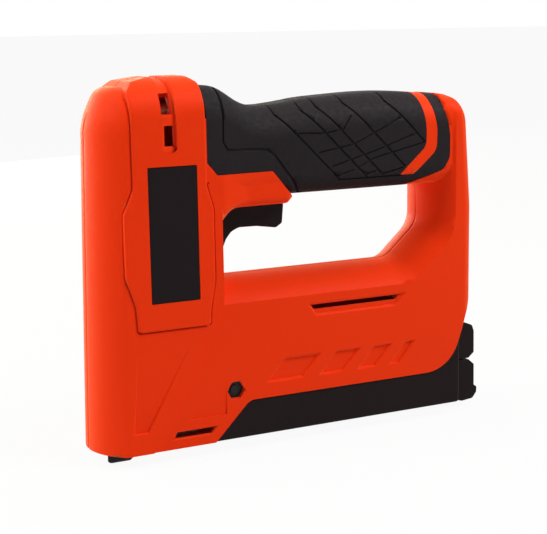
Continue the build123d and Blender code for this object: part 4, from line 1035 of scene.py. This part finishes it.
@dataclass
class SubAssembly:
    """A group of pieces that are made and dressed together.

    Attributes:
        merge: Distance within which a copy's corners are one, in metres.
        flat: Angle under which neighbouring facets count as one face, in degrees.
        crease: Angle over which an edge is rounded, in degrees.
        keep_sharp: Angle over which an edge stays sharp in shading, in degrees.
        stray: Share of a rounding's width by which its corners may leave the surface.
        sliver: Twice the area, in square metres, of the largest folded face that is left alone.
        run_out: Length in metres of the longest sharp edge that a rounding may run out on.
        bend: Angle in degrees by which a broad face's shading may bend away from the face.
        broad: Area in square metres from which a face counts as broad.
        tries: How often a rounding is tried with fewer edges.
        straight: Angle in degrees from which two edges at a corner count as one line.
        room: Width in roundings that a face beside a rounded edge needs.
        shared_room: That width where the face's far edge is rounded too.
        slant: Least sine that is reckoned with where two edges meet at a slant.
        point: Length in metres under which an edge counts as a point.
        clearing: Distance in roundings round a fault within which edges stay sharp.
    """

    merge: float = 0.00001 * MM
    flat: float = 0.4
    crease: float = 32.0
    keep_sharp: float = 42.0
    stray: float = 0.5
    sliver: float = 5e-7
    run_out: float = 0.003
    bend: float = 30.0
    broad: float = 3e-6
    tries: int = 8
    straight: float = 140.0
    room: float = 1.2
    shared_room: float = 2.2
    slant: float = 0.3
    point: float = 1e-9
    clearing: float = 3.0

    def dress(self, node: str, finish: Finish, body: Body | str, edge: Edge) -> Piece:
        """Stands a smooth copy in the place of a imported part.

        Args:
            node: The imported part.
            finish: Its finish.
            body: The body that it rides on.
            edge: How its edges are rounded.

        Returns:
            The finished piece.
        """
        piece = bpy.data.objects.new(f"{node}_piece", self.merged(node, edge.value))
        bpy.context.scene.collection.objects.link(piece)
        return self.settle(piece, finish, body, node)

    def merged(self, node: str, width: float) -> bpy.types.Mesh:
        """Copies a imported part's mesh with its corners joined, its flat faces whole and its edges rounded.

        Args:
            node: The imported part.
            width: Width of the rounding in metres.

        Returns:
            The new mesh.
        """
        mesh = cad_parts[node].data.copy()
        mesh.name = f"{node}_piece"
        mesh.materials.clear()
        shape = bmesh.new()
        shape.from_mesh(mesh)
        bmesh.ops.remove_doubles(shape, verts=shape.verts, dist=self.merge)
        bmesh.ops.dissolve_limit(
            shape, angle_limit=math.radians(self.flat), verts=shape.verts, edges=shape.edges,
            use_dissolve_boundaries=False,
        )
        if width > 0.0:
            shape = self.round_edges(shape, width)
        shape.to_mesh(mesh)
        shape.free()
        return mesh

    def round_edges(self, shape: bmesh.types.BMesh, width: float) -> bmesh.types.BMesh:
        """Rounds the sharp edges that have room for it, less those whose new corners leave the surface.

        Args:
            shape: The sharp shape, freed where a rounded one takes its place.
            width: Width of the rounding in metres.

        Returns:
            The rounded shape, or the sharp one where no try fits.
        """
        crease = math.radians(self.crease)
        surface = BVHTree.FromBMesh(shape)
        shape.edges.ensure_lookup_table()
        chosen = {edge for edge in shape.edges if edge.is_convex and edge.calc_face_angle(0.0) > crease}
        for _ in range(self.tries):
            self.drop_tight(chosen, width)
            rounded = shape.copy()
            rounded.edges.ensure_lookup_table()
            picked = [rounded.edges[number] for number in sorted(edge.index for edge in chosen)]
            bmesh.ops.bevel(
                rounded, geom=picked, offset=width, offset_type="OFFSET", segments=2, profile=0.5,
                affect="EDGES", clamp_overlap=False, loop_slide=True,
            )
            astray = self.astray(rounded, surface, width)
            if not astray:
                shape.free()
                return rounded
            rounded.free()
            near = width * self.clearing
            chosen -= {edge for edge in chosen if any(self.reach(edge, point) < near for point in astray)}
        return shape

    def astray(self, rounded: bmesh.types.BMesh, surface: BVHTree, width: float) -> list[Vector]:
        """Finds the corners of a rounded shape that leave the sharp surface or lie on a folded face.

        Args:
            rounded: The rounded shape.
            surface: The sharp surface.
            width: Width of the rounding in metres.

        Returns:
            The places of those corners.
        """
        limit = width * self.stray
        found = [corner.co.copy() for corner in rounded.verts if surface.find_nearest(corner.co)[3] > limit]
        rounded.normal_update()
        for loops in rounded.calc_loop_triangles():
            first, second, third = (loop.vert.co for loop in loops)
            facing = (second - first).cross(third - first)
            if facing.length > self.sliver and facing.dot(loops[0].face.normal) < 0.0:
                found += [first.copy(), second.copy(), third.copy()]
        return found

    def drop_tight(self, chosen: set[bmesh.types.BMEdge], width: float) -> None:
        """Takes out the edges that have no room for their rounding, until all the rest have it.

        Args:
            chosen: The edges, changed here.
            width: Width of the rounding in metres.
        """
        tight = chosen
        while tight:
            tight = {edge for edge in chosen if not self.has_room(edge, chosen, width)}
            chosen -= tight

    @staticmethod
    def reach(edge: bmesh.types.BMEdge, point: Vector) -> float:
        """Gives the distance from a point to an edge.

        Args:
            edge: The edge.
            point: The point.

        Returns:
            The distance in metres.
        """
        first, last = (corner.co for corner in edge.verts)
        share = intersect_point_line(point, first, last)[1]
        return (first.lerp(last, min(max(share, 0.0), 1.0)) - point).length

    def has_room(self, edge: bmesh.types.BMEdge, chosen: set[bmesh.types.BMEdge], width: float) -> bool:
        """Says whether the faces beside an edge are wide enough for its rounding.

        Args:
            edge: The edge.
            chosen: All edges that are to be rounded.
            width: Width of the rounding in metres.

        Returns:
            True where the rounding fits.
        """
        for corner in edge.verts:
            along = edge.other_vert(corner).co - corner.co
            for other in corner.link_edges:
                if other is edge:
                    continue
                away = other.other_vert(corner).co - corner.co
                if along.length < self.point or away.length < self.point:
                    return False
                turn = along.angle(away)
                if turn > math.radians(self.straight):
                    if other in chosen:
                        continue
                    if away.length > self.run_out and other.calc_face_angle(0.0) > math.radians(self.crease):
                        return False
                far = any(link in chosen for link in other.other_vert(corner).link_edges)
                need = width * (self.shared_room if far else self.room)
                if away.length * max(math.sin(turn), self.slant) < need:
                    return False
        return True

    def part_shading(self, piece: Piece) -> None:
        """Sharpens creases round each corner where a broad face's shading bends away from the face.

        A crease counts from half the angle of such a bend.

        Args:
            piece: The piece, with its shading modifier on.
        """
        shaded = piece.evaluated_get(bpy.context.evaluated_depsgraph_get()).data
        normals = shaded.corner_normals
        most = math.radians(self.bend)
        bent: set[int] = set()
        for face in shaded.polygons:
            if face.area > self.broad:
                for loop in face.loop_indices:
                    if normals[loop].vector.angle(face.normal, 0.0) > most:
                        bent.add(shaded.loops[loop].vertex_index)
        shape = bmesh.new()
        shape.from_mesh(piece.data)
        for edge in shape.edges:
            if edge.calc_face_angle(0.0) > most / 2.0 and any(corner.index in bent for corner in edge.verts):
                edge.smooth = False
        shape.to_mesh(piece.data)
        shape.free()

    def settle(self, piece: Piece, finish: Finish, body: Body | str, *nodes: str) -> Piece:
        """Gives a piece its shading, its finish and its body.

        Args:
            piece: The piece.
            finish: Its finish.
            body: The body that it rides on.
            nodes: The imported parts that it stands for.

        Returns:
            The piece.
        """
        piece.data.shade_smooth()
        piece.data.set_sharp_from_angle(angle=math.radians(self.keep_sharp))
        weighted = piece.modifiers.new("even_shading", "WEIGHTED_NORMAL")
        weighted.keep_sharp = True
        self.part_shading(piece)
        self.bake(piece)
        piece.data.materials.clear()
        piece.data.materials.append(finish.material())
        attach(piece, body.value if isinstance(body, Body) else body)
        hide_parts(*nodes)
        LOG.info("%s: %d faces, %s", piece.name, len(piece.data.polygons), finish.name)
        return piece

    def grown(
        self, node: str, pattern: Pattern, points: list[Vector], axis: Vector, finish: Finish,
        body: Body | str, name: str = "",
    ) -> Piece:
        """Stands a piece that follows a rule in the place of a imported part.

        Args:
            node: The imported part.
            pattern: The tree that makes the piece.
            points: Where its shape is set.
            axis: Direction that the shape's +Z takes.
            finish: The piece's finish.
            body: The body that it rides on.
            name: The piece's name where the part becomes more than one piece.

        Returns:
            The finished piece.
        """
        piece = pattern.grow(name or f"{node}_piece", points, axis, finish)
        self.bake(piece)
        return self.settle(piece, finish, body, node)

    def wound(self, node: str, body: Body | str, plan: Winding) -> Piece:
        """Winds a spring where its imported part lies.

        Args:
            node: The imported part.
            body: The body that it rides on.
            plan: How it is wound.

        Returns:
            The finished spring.
        """
        low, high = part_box(node)
        lie = plan.axis
        side = (lie + 1) % 3
        outer = (high[side] - low[side]) / 2 - plan.across / 2
        sizes = {
            "Turns": plan.turns,
            "Steps": plan.steps,
            "First Radius": outer if plan.bore is None else plan.bore + plan.across / 2,
            "Last Radius": outer,
            "Rise": high[lie] - low[lie] - plan.along,
            "Across": plan.across,
            "Along": plan.along,
            "Corner": min(plan.across, plan.along) * plan.rounding,
        }
        start = (Vector(low) + Vector(high)) / 2
        start[lie] = low[lie] + plan.along / 2
        axis = Vector((0.0, 0.0, 0.0))
        axis[lie] = 1.0
        return self.grown(node, WoundWire("wound_wire", sizes), [start], axis, SPRING, body)

    def give_way(self, piece: Piece, joint: str, node: str) -> None:
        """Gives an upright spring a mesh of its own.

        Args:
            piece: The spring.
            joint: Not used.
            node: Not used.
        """
        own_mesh(piece)

    def bake(self, piece: Piece) -> None:
        """Turns a piece's modifiers into plain mesh.

        Args:
            piece: The piece.
        """
        graph = bpy.context.evaluated_depsgraph_get()
        graph.update()
        mesh = bpy.data.meshes.new_from_object(piece.evaluated_get(graph))
        mesh.name = piece.name
        piece.modifiers.clear()
        piece.data = mesh


@dataclass
class Housing(SubAssembly):
    """The two shells, the rubber grip, the label place and the fasteners.

    Attributes:
        screw_head: Radius of a screw's head, in metres.
        screw_head_high: Height of a screw's head, in metres.
        screw_radius: Radius over a screw's thread, in metres.
        screw_pitch: Rise of a screw's thread in one turn, in metres.
    """

    screw_head: float = 2.7 * MM
    screw_head_high: float = 2.2 * MM
    screw_radius: float = 1.3 * MM
    screw_pitch: float = 1.1 * MM

    def build(self) -> None:
        """Makes the outer pieces."""
        for side in ("left", "right"):
            self.dress(f"{side}_shell", ORANGE, Body.HOUSING, Edge.MOULDED)
            self.dress(f"{side}_grip", RUBBER, Body.HOUSING, Edge.RUBBER)
        self.dress("label_plate", LABEL, Body.HOUSING, Edge.PRESSED)
        for node in ("clamp_bolt", "clamp_nut"):
            self.dress(node, BLACKENED, Body.HOUSING, Edge.PRESSED)
        self.screws()

    def screws(self) -> None:
        """Sets a screw in each screw boss."""
        tops = self.tops("housing_screws", 1)
        low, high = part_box("housing_screws")
        sizes = {
            "Head Radius": self.screw_head,
            "Head Height": self.screw_head_high,
            "Radius": self.screw_radius,
            "Pitch": self.screw_pitch,
            "Length": high[1] - low[1],
        }
        axis = Vector((0.0, 1.0, 0.0))
        self.grown("housing_screws", CrossScrew("cross_screw", sizes), tops, axis, BLACKENED, Body.HOUSING)

    def tops(self, node: str, axis: int) -> list[Vector]:
        """Finds the middle of each loose solid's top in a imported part.

        Args:
            node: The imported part.
            axis: Number of the axis that points up the solids.

        Returns:
            One point for each solid.
        """
        shape = bmesh.new()
        shape.from_mesh(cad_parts[node].data)
        bmesh.ops.remove_doubles(shape, verts=shape.verts, dist=self.merge)
        left = set(shape.verts)
        points = []
        while left:
            wave = [min(left, key=lambda corner: corner.index)]
            solid = set(wave)
            while wave:
                near = {edge.other_vert(corner) for corner in wave for edge in corner.link_edges}
                wave = [corner for corner in near if corner not in solid]
                solid |= near
            left -= solid
            lows = [min(corner.co[i] for corner in solid) for i in range(3)]
            highs = [max(corner.co[i] for corner in solid) for i in range(3)]
            point = (Vector(lows) + Vector(highs)) / 2
            point[axis] = highs[axis]
            points.append(point)
        shape.free()
        return points


@dataclass
class Magazine(SubAssembly):
    """The staple magazine with its base, rail, pusher and latch.

    Attributes:
        latch_winding: How the latch's spring is wound.
        strip_winding: How the pusher's strip is rolled.
    """

    latch_winding: Winding = Winding(0, 4.0, 0.8 * MM, 0.5 * MM)
    strip_winding: Winding = Winding(1, 9.0, 0.1 * MM, 4.6 * MM, 0.2, 1.15 * MM, 48)

    def build(self) -> None:
        """Makes the magazine's pieces."""
        self.dress("magazine_base", BLACK, Body.HOUSING, Edge.FINE)
        self.dress("magazine_channel", PLATED, Body.HOUSING, Edge.PRESSED)
        self.dress("magazine_rail", PLATED, Body.MAGAZINE, Edge.PRESSED)
        self.dress("magazine_end", BLACK, Body.MAGAZINE, Edge.FINE)
        self.dress("latch_pin", PLATED, Body.MAGAZINE, Edge.PRESSED)
        self.wound("latch_spring", Body.MAGAZINE, self.latch_winding)
        self.dress("latch_lever", BLACK, Body.LATCH, Edge.FINE)
        self.dress("pusher", BLACK, Body.FEEDER, Edge.PRESSED)
        self.wound("pusher_spring", Body.FEEDER, self.strip_winding)


@dataclass
class Nose(SubAssembly):
    """The contact foot, the nose and the striker.

    Attributes:
        contact_winding: How the contact foot's spring is wound.
        drive_winding: How the striker's flat-wire spring is wound.
    """

    contact_winding: Winding = Winding(2, 7.0, 0.8 * MM, 0.6 * MM)
    drive_winding: Winding = Winding(2, 9.0, 2.2 * MM, 1.8 * MM, 0.22, None, 56)

    def build(self) -> None:
        """Makes the nose's pieces."""
        self.dress("contact_foot", PHOSPHATED, Body.FOOT, Edge.PRESSED)
        self.dress("contact_link", PLATED, Body.FOOT, Edge.PRESSED)
        spring = self.wound("contact_spring", Body.HOUSING, self.contact_winding)
        self.give_way(spring, "foot_press", "contact_spring")
        self.dress("nose_plate", PLATED, Body.HOUSING, Edge.PRESSED)
        self.dress("hammer_guide", PLATED, Body.HOUSING, Edge.PRESSED)
        self.dress("bumper", RUBBER, Body.HOUSING, Edge.PRESSED)
        self.dress("hammer", DARK_STEEL, Body.STRIKER, Edge.FINE)
        self.dress("driver_blade", DARK_STEEL, Body.STRIKER, Edge.PRESSED)
        spring = self.wound("drive_spring", Body.HOUSING, self.drive_winding)
        self.give_way(spring, "hammer_lift", "drive_spring")
        self.dress("spring_seat", DARK_STEEL, Body.HOUSING, Edge.PRESSED)
        self.dress("spring_rod", PLATED, Body.HOUSING, Edge.PRESSED)


@dataclass
class Drive(SubAssembly):
    """The motor, the two planetary stages and the crank.

    Attributes:
        poles: Poles of the rotor.
        stack_start: Distance from the can's front to the rotor's stack, in metres.
        stack_length: Length of the rotor's stack, in metres.
        stack_radius: Radius of the rotor's stack, in metres.
        shaft_radius: Radius of the motor's shaft, in metres.
        bar_radius: Radius of the commutator, in metres.
        bar_length: Length of the commutator, in metres.
        slot_share: Radius at the bottom of a slot as a share of the stack's radius.
        sheet: Pitch of the stack's sheets, in metres.
        groove: Depth of the groove between two sheets, in metres.
        loop_over: How much longer a wire loop is than the stack, in metres.
        loop_width: Width of a wire loop, in metres.
        loop_share: Radius that a wire loop stands at as a share of the stack's radius.
        loop_bend: Radius of a wire loop's corners, in metres.
        bundle: Radius of a loop's bundle of wires, in metres.
    """

    poles: int = 5
    stack_start: float = 7.0 * MM
    stack_length: float = 22.0 * MM
    stack_radius: float = 9.2 * MM
    shaft_radius: float = 1.15 * MM
    bar_radius: float = 4.0 * MM
    bar_length: float = 6.0 * MM
    slot_share: float = 0.55
    sheet: float = 0.5 * MM
    groove: float = 0.05 * MM
    loop_over: float = 2.4 * MM
    loop_width: float = 5.6 * MM
    loop_share: float = 0.66
    loop_bend: float = 2.0 * MM
    bundle: float = 1.5 * MM

    def build(self) -> None:
        """Makes the drive's pieces."""
        self.dress("gear_case", DARK_STEEL, Body.HOUSING, Edge.SHARP)
        self.dress("gear_cover", DARK_STEEL, Body.HOUSING, Edge.PRESSED)
        self.dress("motor_can", PLATED, Body.HOUSING, Edge.PRESSED)
        self.dress("motor_magnets", MAGNET, Body.HOUSING, Edge.PRESSED)
        self.dress("motor_end", WHITE, Body.HOUSING, Edge.PRESSED)
        self.rotor()
        self.dress("motor_pinion", BRASS, Body.ARMATURE, Edge.SHARP)
        self.dress("first_carrier", SINTERED, Body.CARRIER, Edge.SHARP)
        self.dress("crank", SINTERED, Body.CRANK, Edge.PRESSED)
        self.dress("crank_roller", PLATED, Body.ROLLER, Edge.PRESSED)
        for stage in ("1", "2"):
            for place in ("a", "b", "c"):
                planet = f"planet_{stage}{place}"
                self.dress(planet, SINTERED, planet, Edge.SHARP)

    def rotor(self) -> None:
        """Makes the rotor's stack and shaft, and winds its poles."""
        low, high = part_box("rotor")
        end = Vector((low[0] + high[0], low[1] + high[1], low[2] + high[2])) / 2
        end.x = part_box("motor_can")[0][0] + self.stack_start + self.stack_length
        sizes = {
            "Poles": self.poles,
            "Length": self.stack_length,
            "Radius": self.stack_radius,
            "Slot Radius": self.stack_radius * self.slot_share,
            "Sheet": self.sheet,
            "Groove": self.groove,
            "Shaft Radius": self.shaft_radius,
            "Shaft Length": high[0] - low[0],
            "Shaft Middle": (low[0] + high[0]) / 2 - end.x,
        }
        axis = Vector((1.0, 0.0, 0.0))
        core = RotorCore("rotor_stack", sizes)
        self.grown("rotor", core, [end], axis, SINTERED, Body.ARMATURE, "rotor_core_piece")
        sizes = {
            "Poles": self.poles,
            "Length": self.stack_length,
            "Loop Length": self.stack_length + self.loop_over,
            "Loop Width": self.loop_width,
            "Loop Radius": self.stack_radius * self.loop_share,
            "Bend": self.loop_bend,
            "Bundle": self.bundle,
            "Bar Radius": self.bar_radius,
            "Bar Length": self.bar_length,
        }
        winding = RotorWinding("rotor_winding", sizes)
        self.grown("rotor", winding, [end], axis, COPPER, Body.ARMATURE, "rotor_winding_piece")


@dataclass
class Controls(SubAssembly):
    """The trigger, the switches, the cell, the board and the wires.

    Attributes:
        trigger_winding: How the trigger's spring is wound.
    """

    trigger_winding: Winding = Winding(1, 3.0, 0.8 * MM, 0.6 * MM)

    def build(self) -> None:
        """Makes the controls and the electrical pieces."""
        self.dress("trigger", BLACK, Body.TRIGGER, Edge.MOULDED)
        self.dress("trigger_pin", PLATED, Body.HOUSING, Edge.PRESSED)
        self.wound("trigger_spring", Body.HOUSING, self.trigger_winding)
        self.dress("trigger_switch", BLACK, Body.HOUSING, Edge.PRESSED)
        self.dress("safety_switch", BLACK, Body.HOUSING, Edge.PRESSED)
        self.dress("battery_cell", CELL, Body.HOUSING, Edge.FINE)
        self.dress("battery_strips", PLATED, Body.HOUSING, Edge.SHARP)
        self.dress("circuit_board", BOARD, Body.HOUSING, Edge.PRESSED)
        self.dress("charge_socket", PLATED, Body.HOUSING, Edge.PRESSED)
        for node in ("motor_wires", "battery_wires"):
            self.dress(node, RED_WIRE, Body.HOUSING, Edge.SHARP)
        for node in ("switch_wires", "safety_wire"):
            self.dress(node, BLACK_WIRE, Body.HOUSING, Edge.SHARP)


def main() -> None:
    """Builds the studio and every sub-assembly in order."""
    logging.basicConfig(level=logging.INFO, format="%(name)s %(message)s")
    Studio().build()
    for assembly in (Housing(), Magazine(), Nose(), Drive(), Controls()):
        assembly.build()


if __name__ == "__main__":
    main()
